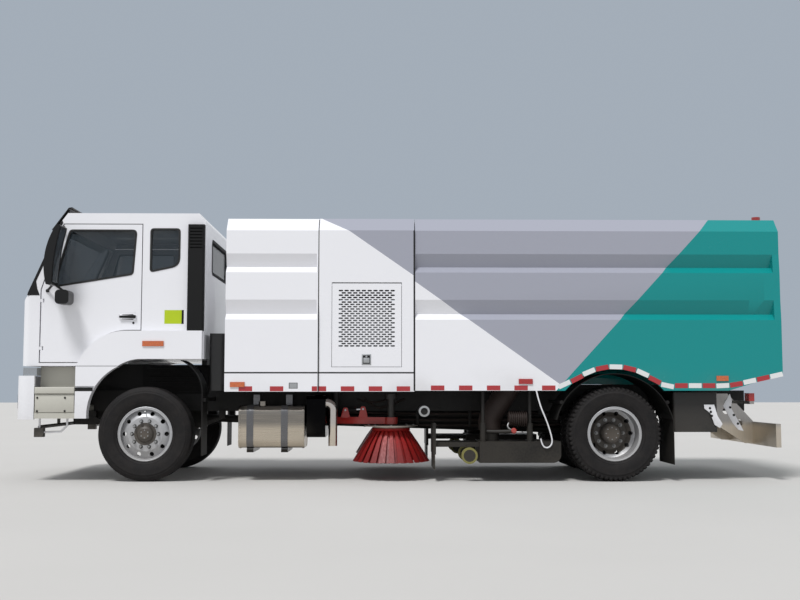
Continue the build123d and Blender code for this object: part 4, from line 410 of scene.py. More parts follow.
# %% Weave the cloth
cloth = Finish("seat_cloth", Sheen_Weight=0.3)
THREADS = 1600.0                # radians of thread for each metre
warp, weft = cloth.axis("Y").waves(THREADS), (cloth.axis("Z") + cloth.axis("X")).waves(THREADS)
weave = warp * weft * 0.5 + 0.5
seat_cloth = cloth.fill(Base_Color=cloth.mix(weave, colour(34, 35, 38), colour(58, 60, 64)),
                        Roughness=weave * 0.15 + 0.75, Normal=cloth.bumps(weave + cloth.noise(40), 0.0008))
print("finishes", len(bpy.data.materials))

# %% [markdown]
# ## Dress the CAD nodes
# Where a CAD node already has the real form it only needs its finish. The table says which; a name
# that ends in a low line stands for a left and a right node.

# %% Hand out the finishes
DRESS = {
    body_paint: "water_tank engine_bay hopper_shell rear_door lid_",
    cab_paint: "cab_shell door_ bumper fender_legs",
    black_plastic: "air_intake front_mudguards rear_mudguards",
    gloss_black: "sun_visor mirror_",
    frame_paint: "frame_rails subframe front_axle rear_axle leaf_springs engine_block tip_barrel knuckle_",
    window_glass: "cab_glass door_glass_", lamp_lens: "lamps hopper_lamps cab_lamps",
    rim_paint: "rim_front_ rim_rear_", tyre_rubber: "tyre_front_ tyres_rear_",
    red_paint: "brush_arm_ brush_", head_paint: "brush_head_", nozzle_paint: "nozzle_",
    pipework: "water_pipes", hose_rubber: "suction_tubes", box_paint: "side_boxes", zinc: "fan_engine",
    tank_metal: "fuel_tank", strap_metal: "underrun_guard", pipe_metal: "silencer", chrome: "tip_rod",
    grey_plastic: "steps", dash_plastic: "dashboard", seat_cloth: "seats",
}
dressed = 0
for finish, names in DRESS.items():
    for name in names.split():
        for side in ("left", "right") if name.endswith("_") else ("",):
            dressed += 1
            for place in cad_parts[name + side].material_slots:
                place.material = finish
print("dressed", dressed, "of", len(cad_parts))

# %% [markdown]
# ## Tools for making pieces
# A finished piece is one mesh whose object sits at the origin, because the frame's joints and the
# object-space finishes both need that. So shapes are made where they belong, and a small tray
# collects them with their finishes. Most parts of a truck come in left and right pairs, so the
# tray can also turn out the mirrored twin, with its normals set right again.

# %% Shapes and the tray
MIRROR = Matrix.Diagonal((1, -1, 1, 1))
# Turned shapes grow along Y; these lay them along another axis.
FORWARDS, BACKWARDS = (Matrix.Rotation(radians(angle), 4, "Z") for angle in (-90, 90))
UPRIGHT = Matrix.Rotation(radians(90), 4, "X")


def at(x, y, z):
    """A place on the truck."""
    return Matrix.Translation((x, y, z))


def as_mesh(shape, name="shape"):
    """Turn a bmesh into a mesh and free it."""
    mesh = bpy.data.meshes.new(name)
    shape.to_mesh(mesh)
    shape.free()
    return mesh


def block(low, high, edge=0.004, steps=2):
    """A box from one corner to the other with rounded edges."""
    shape = bmesh.new()
    size = [b - a for a, b in zip(low, high)]
    middle = [(a + b) / 2 for a, b in zip(low, high)]
    bmesh.ops.create_cube(shape, size=1, matrix=Matrix.Translation(middle) @ Matrix.Diagonal((*size, 1)))
    bmesh.ops.bevel(shape, geom=shape.edges[:], offset=min(edge, min(size) * 0.45), segments=steps,
                    affect="EDGES", profile=0.5)
    return as_mesh(shape)


def patch(low, high):
    """A thin strip, plate or sticker from one corner to the other."""
    return block(low, high, 0.0004, 1)


def disc(radius, near, far):
    """The profile of a round plate or pin."""
    return [(0, near), (radius, near), (radius, far), (0, far)]


def dome(radius, top, high):
    """The profile of a rivet's or bolt's head."""
    return [(0, 0), (radius, 0), (top, high), (0, high + 0.001)]


def turned(profile, centre=(0, 0, 0), steps=48, axis="Y"):
    """Spin (radius, distance along the axis) points about an axis and close the ends."""
    shape = bmesh.new()
    spots = [shape.verts.new((r, y, 0) if axis == "Y" else (r, 0, y)) for r, y in profile]
    edges = [shape.edges.new(pair) for pair in zip(spots, spots[1:])]
    about = (0, 1, 0) if axis == "Y" else (0, 0, 1)
    bmesh.ops.spin(shape, geom=spots + edges, cent=(0, 0, 0), axis=about, angle=2 * pi, steps=steps,
                   use_merge=True)
    bmesh.ops.remove_doubles(shape, verts=shape.verts[:], dist=1e-5)
    bmesh.ops.recalc_face_normals(shape, faces=shape.faces[:])
    bmesh.ops.translate(shape, verts=shape.verts[:], vec=centre)
    return as_mesh(shape)


def slab(outline, near_y, far_y, edge=0.0):
    """A flat plate from (x, z) points, between two distances out from the truck's middle."""
    shape = bmesh.new()
    face = shape.faces.new([shape.verts.new((x, near_y, z)) for x, z in outline])
    grown = bmesh.ops.extrude_face_region(shape, geom=[face])
    bmesh.ops.translate(shape, verts=[v for v in grown["geom"] if isinstance(v, bmesh.types.BMVert)],
                        vec=(0, far_y - near_y, 0))
    if edge:
        bmesh.ops.bevel(shape, geom=shape.edges[:], offset=edge, segments=2, affect="EDGES", profile=0.5)
    bmesh.ops.recalc_face_normals(shape, faces=shape.faces[:])
    return as_mesh(shape)


def tube(points, radius, kind="POLY", sides=6):
    """A round rod, pipe or hose along points, closed at both ends."""
    curve = bpy.data.curves.new("run", "CURVE")
    curve.dimensions, curve.bevel_depth, curve.use_fill_caps = "3D", radius, True
    curve.bevel_resolution, curve.resolution_u = sides, 8
    line = curve.splines.new(kind)
    line.points.add(len(points) - 1)
    for spot, place in zip(line.points, points):
        spot.co = (*place, 1)
    if kind == "NURBS":
        line.order_u, line.use_endpoint_u = 3, True
    holder = bpy.data.objects.new("run", curve)
    mesh = bpy.data.meshes.new_from_object(holder)
    bpy.data.objects.remove(holder)
    return mesh


def hose(points, radius):
    """A tube that bends smoothly along its points."""
    return tube(points, radius, "NURBS")


class Tray:
    """Collects shapes, each with its finish, and sets them on the frame as one piece."""

    def __init__(self):
        self.shape, self.finishes = bmesh.new(), []

    def put(self, mesh, finish, place=Matrix(), twin=False):
        if finish not in self.finishes:
            self.finishes.append(finish)
        for turn in (place, MIRROR @ place) if twin else (place,):
            copy = mesh.copy()
            copy.transform(turn)
            if turn.determinant() < 0:
                copy.flip_normals()
            first = len(self.shape.faces)
            self.shape.from_mesh(copy)
            self.shape.faces.ensure_lookup_table()
            for face in self.shape.faces[first:]:
                face.material_index = self.finishes.index(finish)
                face.smooth = True
            bpy.data.meshes.remove(copy)
        return self

    def pair(self, mesh, finish, place=Matrix()):
        """Put a shape and its mirrored twin on the tray."""
        return self.put(mesh, finish, place, twin=True)

    def serve(self, name, body, *nodes, sharp=35):
        """Set the piece on a body, in place of the CAD nodes. A left piece also makes its twin."""
        mesh = as_mesh(self.shape, name)
        for finish in self.finishes:
            mesh.materials.append(finish)
        mesh.set_sharp_from_angle(angle=radians(sharp))
        twins = [(name, mesh, body, nodes)]
        if "left" in name:
            copy = mesh.copy()
            copy.transform(MIRROR)
            copy.flip_normals()
            twins.append([name.replace("left", "right"), copy] +
                         [body.replace("left", "right"), [n.replace("left", "right") for n in nodes]])
        for title, made, carrier, hidden in twins:
            piece = add(title, made)
            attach(piece, carrier)
            if hidden:
                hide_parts(*hidden)
        print(name, "faces", len(mesh.polygons))
        return piece


# %% [markdown]
# ## Patterns with Geometry Nodes
# Bolts, tread blocks, slots and bristles repeat by a rule, so a node tree repeats them. The tree's
# first input is the shape to repeat, and the other inputs are the sizes of the rule. It is run
# once on a seed mesh, and the result is kept as a plain mesh.


# %% A pattern that can be run on a shape
class Pattern(Tree):
    """A Geometry Nodes tree that repeats its input shape."""

    def __init__(self, name, **sizes):
        super().__init__(bpy.data.node_groups.new(name, "GeometryNodeTree"))
        panel = self.tree.interface
        panel.new_socket("Made", in_out="OUTPUT", socket_type="NodeSocketGeometry")
        panel.new_socket("Shape", in_out="INPUT", socket_type="NodeSocketGeometry")
        kinds = {int: "NodeSocketInt", float: "NodeSocketFloat", tuple: "NodeSocketVector"}
        self.keys = {}
        for size, usual in sizes.items():
            made = panel.new_socket(size, in_out="INPUT", socket_type=kinds[type(usual)])
            made.default_value = usual
            self.keys[size] = made.identifier
        self.entry = self.tree.nodes.new("NodeGroupInput")

    def size(self, name):
        return Wire(self, self.entry.outputs[name])

    def line(self, count, step):
        """Points in a row."""
        return self.node("GeometryNodeMeshLine", {"mode": "OFFSET"}, {"Count": count, "Offset": step})

    def copies(self, points, shape, **settings):
        return self.node("GeometryNodeInstanceOnPoints",
                         sockets={"Points": points, "Instance": shape, **settings})

    def solid(self, copies):
        """Real meshes in place of copies that only point at one."""
        return self.node("GeometryNodeRealizeInstances", sockets={0: copies})

    def end(self, shape):
        self.node("NodeGroupOutput", sockets={"Made": self.solid(shape)})

    def run(self, mesh, **sizes):
        """Run the pattern on a mesh and give back the plain mesh that it makes."""
        seed = add("seed", mesh)
        modifier = seed.modifiers.new("pattern", "NODES")
        modifier.node_group = self.tree
        for size, value in sizes.items():
            modifier[self.keys[size]] = value
        return plain(seed)


# A ring about the Y axis: the turn is the point's number times a full turn over the count.
ring = Pattern("ring", Count=10, Turn=0.0)
step = ring.size("Count").sum("POWER", -1.0)
turn = ring.node("GeometryNodeInputIndex") * (2 * pi) * step + ring.size("Turn")
about_y = ring.node("ShaderNodeCombineXYZ", sockets={1: turn})
ring.end(ring.copies(ring.line(ring.size("Count"), (0, 0, 0)), ring.size("Shape"), Rotation=about_y))

# Rows of rows.
grid = Pattern("grid", Columns=2, Rows=1, Across=(1.0, 0.0, 0.0), Along=(0.0, 0.0, 1.0))
row = grid.solid(grid.copies(grid.line(grid.size("Columns"), grid.size("Across")), grid.size("Shape")))
grid.end(grid.copies(grid.line(grid.size("Rows"), grid.size("Along")), row))
print("patterns", len(bpy.data.node_groups))

# %% [markdown]
# ## Tyres
# A truck's steered wheels wear ribbed tyres, and its driven wheels wear lugged ones whose blocks
# reach over the shoulder. The carcass is turned from a profile with grooves and sidewall rings,
# and the lugs are one block on a ring pattern.

# %% Make the tyres
FRONT_Y, REAR_OUTER_Y, REAR_INNER_Y = 1.015, 1.095, 0.765
SIDEWALL = [(0.2855, 0.1), (0.298, 0.104), (0.306, 0.112), (0.312, 0.1225), (0.33, 0.13),
            (0.334, 0.1325), (0.338, 0.1305), (0.342, 0.1345), (0.375, 0.144), (0.41, 0.1475),
            (0.44, 0.1462), (0.444, 0.1472), (0.452, 0.147), (0.455, 0.1448), (0.47, 0.14),
            (0.473, 0.1412), (0.477, 0.1385)]


def carcass(shoulder, crown, grooves, depth):
    """A tyre turned from its closed profile; the grooves are given from the near side inwards."""
    tread, low = [], crown - depth
    for y in grooves:
        tread += [(crown, y + 0.006), (low, y + 0.004), (low, y - 0.004), (crown, y - 0.006)]
    half = SIDEWALL + shoulder
    return turned(half + tread + [(r, -y) for r, y in reversed(half)] + [SIDEWALL[0]], steps=96)


ribbed = carcass([(0.492, 0.131), (0.505, 0.125), (0.514, 0.117), (0.5185, 0.106), (0.5215, 0.09)],
                 0.5215, (0.069, 0.024, -0.024, -0.069), 0.014)
lugged = carcass([(0.488, 0.1345), (0.497, 0.124), (0.503, 0.11), (0.505, 0.09)],
                 0.505, (0.03, -0.03), 0.008)
SHOULDER_Y, LUG_MIDDLE_Z = 0.11, 0.508
lug = block((-0.0165, 0.058, 0.495), (0.0165, 0.1395, 0.5215), 0.006)
for corner in lug.vertices:
    over = max(0.0, corner.co.y - SHOULDER_Y)
    corner.co.z -= over * 0.55 if corner.co.z > LUG_MIDDLE_Z else 0.022
rib_block = block((-0.024, -0.0235, 0.497), (0.024, 0.0235, 0.5205), 0.004)

front = at(FRONT_AXLE_X, FRONT_Y, WHEEL_Z)
tray = Tray().put(ribbed, tyre_rubber, front)
tray.serve("front_tread_left", "front_left_wheel", "tyre_front_left", sharp=28)
lugs, rib_blocks = ring.run(lug, Count=60), ring.run(rib_block, Count=58)
tray = Tray()
for y in (REAR_OUTER_Y, REAR_INNER_Y):
    stand = at(REAR_AXLE_X, y, WHEEL_Z)
    for mesh, place in ((lugged, stand), (lugs, stand), (lugs, stand @ MIRROR), (rib_blocks, stand)):
        tray.put(mesh, tyre_rubber, place)
tray.serve("rear_tread_left", "rear_left_wheels", "tyres_rear_left", sharp=28)

# %% [markdown]
# ## Wheel bolts and hubs
# Ten studs hold each wheel. A hexagon nut on a washer with the stud's end showing is turned from
# three short profiles, and the ring pattern sets ten of them. The hub's cap is turned too.

# %% Bolt the wheels on
WASHER = disc(0.0215, -0.004, 0.0)
NUT = [(0.0, 0.0), (0.0165, 0.0), (0.0165, 0.019), (0.014, 0.023), (0.0, 0.023)]
STUD_END = [(0.0, 0.02), (0.0105, 0.02), (0.0105, 0.037), (0.009, 0.039), (0.0, 0.039)]
FLANGE = [(0.286, 0.0), (0.2875, 0.0095), (0.296, 0.0125), (0.3025, 0.0095), (0.3025, 0.0)]


def bolted(stand, circle, face, cap, bolt, bolts, flange):
    """A tray with ten nuts on the disc's face, the hub's cap with its bolts, and the rim's flange."""
    nut = bmesh.new()
    for profile, sides in ((WASHER, 16), (NUT, 6), (STUD_END, 12)):
        nut.from_mesh(turned(profile, (0, face, circle), sides))
    tray = Tray().put(ring.run(as_mesh(nut), Count=10, Turn=pi / 10), zinc, stand)
    tray.put(turned(cap, steps=40), hub_paint, stand)
    tray.put(ring.run(block(*bolt, 0.002), Count=bolts), zinc, stand)
    return tray.put(turned([(r, y + flange) for r, y in FLANGE], steps=96), rim_paint, stand)


FRONT_CAP = [(0.0, 0.132), (0.05, 0.132), (0.054, 0.137), (0.052, 0.1395), (0.028, 0.1405), (0.0, 0.1405)]
REAR_CAP = [(0.0, 0.136), (0.074, 0.136), (0.082, 0.1395), (0.08, 0.1425), (0.05, 0.1445), (0.0, 0.1445)]
tray = bolted(front, 0.146, 0.104, FRONT_CAP, ((-0.006, 0.138, 0.036), (0.006, 0.1445, 0.048)), 6, 0.106)
tray.put(hose([(0.0, 0.088, 0.222), (0.0, 0.116, 0.236), (0.0, 0.14, 0.25)], 0.005), zinc, front)
tray.serve("front_nuts_left", "front_left_wheel", sharp=30)
TWIN_MIDDLE = REAR_OUTER_Y - 0.165
tray = bolted(at(REAR_AXLE_X, TWIN_MIDDLE, WHEEL_Z), 0.152, 0.0145, REAR_CAP,
              ((-0.006, 0.141, 0.06), (0.006, 0.149, 0.072)), 8, 0.271)
tray.serve("rear_nuts_left", "rear_left_wheels", sharp=30)

# %% [markdown]
# ## Grille lids
# The lid of the engine bay is a sheet with rows of round-ended slots, each row half a step behind
# the next. The tree lays out the slots on two grids and cuts them from the sheet with a Mesh
# Boolean node, so the dark bay shows through real holes. Returned edges give the sheet its depth.

# %% Cut the slots
LID_LOW, LID_HIGH = Vector((-0.005, 1.205, 1.265)), Vector((0.764, 1.24, 2.19))
STEP_X, STEP_Z = 0.064, 0.0512
cutting = Pattern("slotted sheet", Columns=10, Rows=13, Across=(STEP_X, 0.0, 0.0), Along=(0.0, 0.0, STEP_Z),
                  Sheet=(1.0, 1.0, 1.0), Middle=(0.0, 0.0, 0.0))
both = cutting.tree.nodes.new("GeometryNodeJoinGeometry")
for fewer in (0, 1):
    line = cutting.line(cutting.size("Columns") - fewer, cutting.size("Across"))
    row = cutting.solid(cutting.copies(line, cutting.size("Shape")))
    rows = cutting.copies(cutting.line(cutting.size("Rows") - fewer, cutting.size("Along")), row)
    shift = cutting.node("ShaderNodeVectorMath", {"operation": "ADD"},
                         {0: cutting.size("Across"), 1: cutting.size("Along")})
    half = cutting.node("ShaderNodeVectorMath", {"operation": "SCALE"}, {0: shift, "Scale": fewer / 2})
    slots = cutting.solid(cutting.node("GeometryNodeTransform", sockets={0: rows, "Translation": half}))
    cutting.tree.links.new(slots.socket, both.inputs[0])
sheet = cutting.node("GeometryNodeMeshCube", sockets={"Size": cutting.size("Sheet")})
sheet = cutting.node("GeometryNodeTransform", sockets={0: sheet, "Translation": cutting.size("Middle")})
cutting.end(cutting.node("GeometryNodeMeshBoolean", {"operation": "DIFFERENCE", "solver": "EXACT"},
                         {0: sheet, 1: Wire(cutting, both.outputs[0])}))

SLOT_HALF, SLOT_RADIUS, SLOTS_Z = 0.0165, 0.009, 1.802
round_end = [(SLOT_HALF + SLOT_RADIUS * cos(a), SLOT_RADIUS * sin(a))
             for a in (-pi / 2, -pi / 6, pi / 6, pi / 2)]
middle = (LID_LOW + LID_HIGH) / 2
first_x, first_z = middle.x - 4.5 * STEP_X, SLOTS_Z - 6 * STEP_Z
slot = slab([(first_x + x, first_z + z) for x, z in round_end + [(-x, -z) for x, z in round_end]],
            LID_HIGH.y - 0.01, LID_HIGH.y + 0.01)
SKIN, EDGE = 0.003, 0.016       # the sheet's thickness and the width of its returned edges
skin = cutting.run(slot, Sheet=(LID_HIGH.x - LID_LOW.x, SKIN, LID_HIGH.z - LID_LOW.z),
                   Middle=(middle.x, LID_HIGH.y - SKIN / 2, middle.z))
tray = Tray().put(skin, body_paint)
for x0, z0, x1, z1 in ((LID_LOW.x, LID_LOW.z, LID_LOW.x + EDGE, LID_HIGH.z),
                       (LID_HIGH.x - EDGE, LID_LOW.z, LID_HIGH.x, LID_HIGH.z),
                       (LID_LOW.x + EDGE, LID_LOW.z, LID_HIGH.x - EDGE, LID_LOW.z + EDGE),
                       (LID_LOW.x + EDGE, LID_HIGH.z - EDGE, LID_HIGH.x - EDGE, LID_HIGH.z)):
    tray.put(block((x0, LID_LOW.y, z0), (x1, LID_HIGH.y - SKIN, z1), 0.001), body_paint)
latch_x, latch_z = middle.x + 0.0025, 1.343
# The near-black middle plate paints the shade of the cup behind the latch's handle.
for half, near, far, low, high, edge, finish in ((0.052, 1.2395, 1.2425, -0.06, 0.06, 0.0012, zinc),
                                                 (0.04, 1.242, 1.2432, -0.046, 0.048, 0.001, soot),
                                                 (0.034, 1.2425, 1.2485, -0.036, 0.02, 0.003, zinc)):
    tray.put(block((latch_x - half, near, latch_z + low), (latch_x + half, far, latch_z + high), edge),
             finish)
key = [(0, 1.2425), (0.011, 1.2425), (0.0105, 1.2495), (0, 1.2495)]
tray.put(turned(key, (latch_x, 0, latch_z + 0.034), 20), zinc)
tray.serve("lid_sheet_left", "left_lid", "lid_left", sharp=30)

# %% [markdown]
# ## Reflective strips
# Strips run along the body's bottom edge, round the wheel arch and up the sloped rear end. The
# path is a chain of points; a curve follows it, and a tree lays a strip at every second step, so
# it runs once for white and once for red. The spaced strips in front are single red ones.

# %% Lay the strips
strip_red = coated("strip_red", colour(168, 36, 43), 0.3, 0.25, (900, 0.0002), Coat_Weight=0.4)
strip_white = coated("strip_white", colour(224, 226, 226), 0.3, 0.25, (900, 0.0002), Coat_Weight=0.4)
THIN, TALL = 0.0012, 0.053      # a strip's thickness and height
laying = Pattern("strips on a path", Step=0.1475, Strip=(0.143, THIN, TALL), Shown=0)
path = laying.node("GeometryNodeMeshToCurve", sockets={0: laying.size("Shape")})
path = laying.node("GeometryNodeResampleCurve", {"mode": "LENGTH"},
                   {"Curve": path, "Length": laying.size("Step")})
spots = laying.tree.nodes.new("GeometryNodeCurveToPoints")
spots.mode = "EVALUATED"
laying.tree.links.new(path.socket, spots.inputs[0])
parity = laying.node("GeometryNodeInputIndex") % 2
chosen = laying.node("FunctionNodeCompare", {"data_type": "INT", "operation": "EQUAL"},
                     {2: parity, 3: laying.size("Shown")})
picked = laying.node("GeometryNodeSeparateGeometry", {"domain": "POINT"},
                     {0: Wire(laying, spots.outputs["Points"]), 1: chosen})
lie = laying.node("FunctionNodeAlignRotationToVector", {"axis": "X"},
                  {"Vector": Wire(laying, spots.outputs["Tangent"])})
strip = laying.node("GeometryNodeMeshCube", sockets={"Size": laying.size("Strip")})
laying.end(laying.copies(picked, strip, Rotation=lie))


def chain(points, y):
    """A line of mesh edges through (x, z) points at one distance out."""
    shape = bmesh.new()
    spots = [shape.verts.new((x, y, z)) for x, z in points]
    for pair in zip(spots, spots[1:]):
        shape.edges.new(pair)
    return as_mesh(shape)


def one_strip(rear, front, y, low):
    """A single strip between two places along the truck."""
    return patch((rear, y - THIN / 2, low), (front, y + THIN / 2, low + TALL))


ON_HOPPER, ON_BAY = 1.2507, 1.2407
ARCH_RADIUS = 0.742
arch = [(REAR_AXLE_X + ARCH_RADIUS * cos(radians(a)), WHEEL_Z + ARCH_RADIUS * sin(radians(a)))
        for a in range(54, 129, 3)]
rear_path = [(-1.811, 1.07)] + arch + [(-2.95, 1.056), (-3.66, 1.056), (-4.178, 1.17)]
tray = Tray()
for shown, paint in enumerate((strip_white, strip_red)):
    tray.pair(laying.run(chain(rear_path, ON_HOPPER), Shown=shown), paint)
for px in (437.3, 465.2, 493.0, 520.4, 548.0):
    x = at_pixel(px, 0)[0]
    tray.pair(one_strip(x - 0.0745, x + 0.0745, ON_HOPPER, 1.0045), strip_red)
tray.serve("hopper_strips", "hopper")
tray = Tray()
for left, right in ((240.0, 253.4), (270.9, 284.2), (312.4, 317.7), (319.1, 326.6), (341.1, 354.5),
                    (368.8, 382.2), (396.6, 410.0)):
    y = ON_HOPPER if left < 318 else ON_BAY
    tray.pair(one_strip(at_pixel(right, 0)[0], at_pixel(left, 0)[0], y, 0.9955), strip_red)
tray.serve("front_strips", "chassis")

# %% [markdown]
# ## Side brushes
# A gutter brush is a plate with tufts of stiff strip bristle that lean outwards. The photograph
# shows flat red fans with gaps between them. One bundle of bristles is a flat fan, and three ring
# patterns set rows of fans, each row turned against the next so that it fills the gaps.

# %% Grow the bristles
BRUSH_AT = Vector((0.104, 0.79, 0))
bristle = Finish("bristle", Roughness=0.45)
along_z = bristle.axis("Z").ramp(0.2, 0.58)
shade = bristle.noise(55, 2, (1, 1, 0.12))
bristle_tone = bristle.mix(along_z, colour(126, 14, 12), colour(186, 26, 22))
bristle_red = bristle.fill(
    Base_Color=bristle.mix(shade, bristle_tone, colour(92, 8, 8)), Roughness=shade * 0.3 + 0.35,
    Normal=bristle.bumps(bristle.noise(400, 2, (1, 1, 0.05)), 0.0008))


def fan(top, foot, spread, thick):
    """A flat fan of bristles from the plate's edge out to the ground, seen along Y."""
    shape = bmesh.new()
    (r0, z0), (r1, z1) = top, foot
    lines = []
    for share in (0.0, 0.4, 0.75, 1.0):
        r = r0 + (r1 - r0) * share
        z = z0 + (z1 - z0) * (share ** 1.12)
        wide = spread[0] + (spread[1] - spread[0]) * share
        lines.append([shape.verts.new((side * wide / 2, z, r + depth * thick)) for side in (-1, 0, 1)
                      for depth in (0, 1)])
    for upper, lower in zip(lines, lines[1:]):
        for a, b in ((0, 2), (2, 4), (4, 5), (5, 3), (3, 1), (1, 0)):
            shape.faces.new((upper[a], upper[b], lower[b], lower[a]))
    for end, order in ((lines[0], (0, 1, 3, 2)), (lines[0], (2, 3, 5, 4)), (lines[-1], (2, 3, 1, 0)),
                       (lines[-1], (4, 5, 3, 2))):
        shape.faces.new([end[i] for i in order])
    bmesh.ops.recalc_face_normals(shape, faces=shape.faces[:])
    return as_mesh(shape)


# The ring pattern turns about Y, so the brush is grown lying down and then stood up.
stand = Matrix.Translation(BRUSH_AT) @ UPRIGHT
FAN_ROWS = ((26, (0.19, 0.556), (0.425, 0.205), (0.022, 0.07), 0.012, 0.0),
            (26, (0.165, 0.556), (0.385, 0.198), (0.02, 0.06), 0.012, 0.5),
            (20, (0.14, 0.556), (0.33, 0.196), (0.02, 0.056), 0.014, 0.25))
tray = Tray()
for fans, top, foot, spread, thick, phase in FAN_ROWS:
    row = ring.run(fan(top, foot, spread, thick), Count=fans, Turn=phase * 2 * pi / fans)
    tray.put(row, bristle_red, stand)
tray.put(turned([(0.06, 0.545), (0.06, 0.5797), (0.205, 0.5797), (0.214, 0.574), (0.219, 0.556),
                 (0.205, 0.545), (0.06, 0.545)], BRUSH_AT, 56, "Z"), bristle_red)
tray.serve("bristles_left", "left_brush", "brush_left", sharp=40)

# %% [markdown]
# ## Floor
# A pale floor catches the shadow, which says that the tyres stand on it.

# %% Lay the floor
floor_finish = Finish("floor", Roughness=0.85)
cloudy = floor_finish.noise(0.35, 4)
pale = floor_finish.mix(cloudy, colour(190, 188, 185), colour(198, 196, 193))
ground = bmesh.new()
bmesh.ops.create_grid(ground, x_segments=1, y_segments=1, size=60)
floor = add("floor", as_mesh(ground))
floor.data.materials.append(floor_finish.fill(Base_Color=pale, Roughness=cloudy * 0.1 + 0.8))

# %% [markdown]
# ## Bands round openings
# Seals, seams and trims are all a band that follows a line: round a window, or over the body from
# one side to the other. One helper offsets the line to both sides and joins the four edges. Round
# corners come from a short curve between the two runs that meet there.


# %% Round a corner and follow a line
def rounded(corners, *radii):
    """A closed outline whose corners are curved, all by one radius or each by its own."""
    outline = []
    for i, corner in enumerate(corners):
        corner = Vector(corner)
        to_last = (Vector(corners[i - 1]) - corner).normalized()
        to_next = (Vector(corners[(i + 1) % len(corners)]) - corner).normalized()
        reach = radii[i % len(radii)] / tan(to_last.angle(to_next) / 2)
        for share in (0.0, 0.2, 0.4, 0.6, 0.8, 1.0):
            outline.append(corner + to_last * reach * (1 - share) ** 2 + to_next * reach * share ** 2)
    return outline


def panel(x0, z0, x1, z1, radius):
    """The outline of a rectangle with round corners."""
    return rounded([(x0, z0), (x0, z1), (x1, z1), (x1, z0)], radius)


def frame_of(lines):
    """A closed ring of faces between loops of points, each loop with its own distance out."""
    shape = bmesh.new()
    loops = [[shape.verts.new((x, y, z)) for x, z in line] for line, y in lines]
    for first, second in zip(loops, loops[1:] + loops[:1]):
        for i in range(len(first)):
            shape.faces.new((first[i - 1], first[i], second[i], second[i - 1]))
    bmesh.ops.recalc_face_normals(shape, faces=shape.faces[:])
    return as_mesh(shape)


def band(line, inner, outer, near, far, closed=True):
    """A flat band beside a line of (x, z) points, from y near to y far."""
    count = len(line)
    sides = ([], [])
    for i, spot in enumerate(line):
        before = Vector(line[i - 1]) if closed or i else Vector(spot)
        after = Vector(line[(i + 1) % count]) if closed or i < count - 1 else Vector(spot)
        run = (after - before).normalized()
        for side, off in zip(sides, (inner, outer)):
            side.append((spot[0] + run.y * off, spot[1] - run.x * off))
    if not closed:
        return slab(sides[0] + sides[1][::-1], near, far)
    return frame_of([(sides[0], near), (sides[0], far), (sides[1], far), (sides[1], near)])


# The screen leans back: across it is the truck's Y, up it is the slope from its foot to its head.
FOOT, HEAD = Vector((4.156, 0, 2.064)), Vector((3.8, 0, 2.89))
slope = (HEAD - FOOT).normalized()
ON_SCREEN = Matrix.Translation((FOOT + HEAD) / 2) @ Matrix((
    (0, slope.z, slope.x, 0), (-1, 0, 0, 0), (0, -slope.x, slope.z, 0), (0, 0, 0, 1)))
ON_FRONT = Matrix(((0, 1, 0, 0), (1, 0, 0, 0), (0, 0, 1, 0), (0, 0, 0, 1)))
print("screen leans", round(atan2(-slope.x, slope.z) * 180 / pi), "degrees")

# %% [markdown]
# ## Cab glazing
# Fixed truck windows sit in black rubber, and the windscreen's edge is printed black, so the corner
# posts look black from the side. Each seal is a band on its opening's outline. Two wipers rest at
# the foot of the screen.

# %% Seal the windows
DOOR_PANE = rounded([(2.994, 2.297), (2.96, 2.792), (3.702, 2.792), (3.878, 2.152)], 0.045)
QUARTER_PANE = rounded([(2.477, 2.395), (2.477, 2.808), (2.8, 2.808), (2.8, 2.325)],
                       0.11, 0.035, 0.035, 0.03)
POST = [(4.162, 2.06), (4.154, 2.092), (3.806, 2.896), (3.786, 2.896), (4.07, 2.24), (4.05, 2.13),
        (4.022, 2.06)]
SCREEN_HALF, RIM_HALF = Vector((1.036, 0.401)), Vector((1.1525, 0.452))
BACK_FACE, FACE = -0.022, 0.003  # the printed edge's two faces, from the screen's middle
opening, rim = panel(*-SCREEN_HALF, *SCREEN_HALF, 0.08), panel(*-RIM_HALF, *RIM_HALF, 0.012)
printed = frame_of([(opening, BACK_FACE), (opening, FACE), (rim, FACE), (rim, BACK_FACE)])
tray = Tray().put(printed, gloss_black, ON_SCREEN)
tray.pair(band(QUARTER_PANE, -0.008, 0.013, 1.128, 1.1545), seal_rubber)
tray.pair(slab(POST, 1.1495, 1.153), gloss_black)
tray.put(band(panel(-0.65, 2.36, 0.65, 2.74, 0.06), -0.02, 0.015, 2.186, 2.2), seal_rubber, ON_FRONT)
tray.serve("window_seals", "cab")
tray = Tray().put(band(DOOR_PANE, -0.008, 0.013, 1.126, 1.1545), seal_rubber)
tray.serve("door_seal_left", "left_door")

ARM_REACH = Vector((0.52, 0.0, 0.165))
tray = Tray()
for side in (-0.8, 0.1):
    pivot = Vector((side, 0.003, -SCREEN_HALF.y - 0.022))
    tip = pivot + ARM_REACH
    arm = ((pivot, 0.016), ((pivot + tip) / 2, 0.022), (tip, 0.01))
    tray.put(turned([(0, 0), (0.022, 0), (0.02, 0.028), (0, 0.032)], pivot, 20), gloss_black, ON_SCREEN)
    tray.put(hose([spot + Vector((0, out, 0)) for spot, out in arm], 0.006), gloss_black, ON_SCREEN)
    blade = ON_SCREEN @ Matrix.Translation(tip) @ Matrix.Rotation(-0.12, 4, "Y")
    tray.put(block((-0.3, -0.018, -0.004), (0.3, 0.002, 0.004), 0.002), seal_rubber, blade)
    tray.put(block((-0.29, 0.001, -0.009), (0.29, 0.009, 0.009), 0.003), gloss_black, blade)
tray.serve("wipers", "cab")
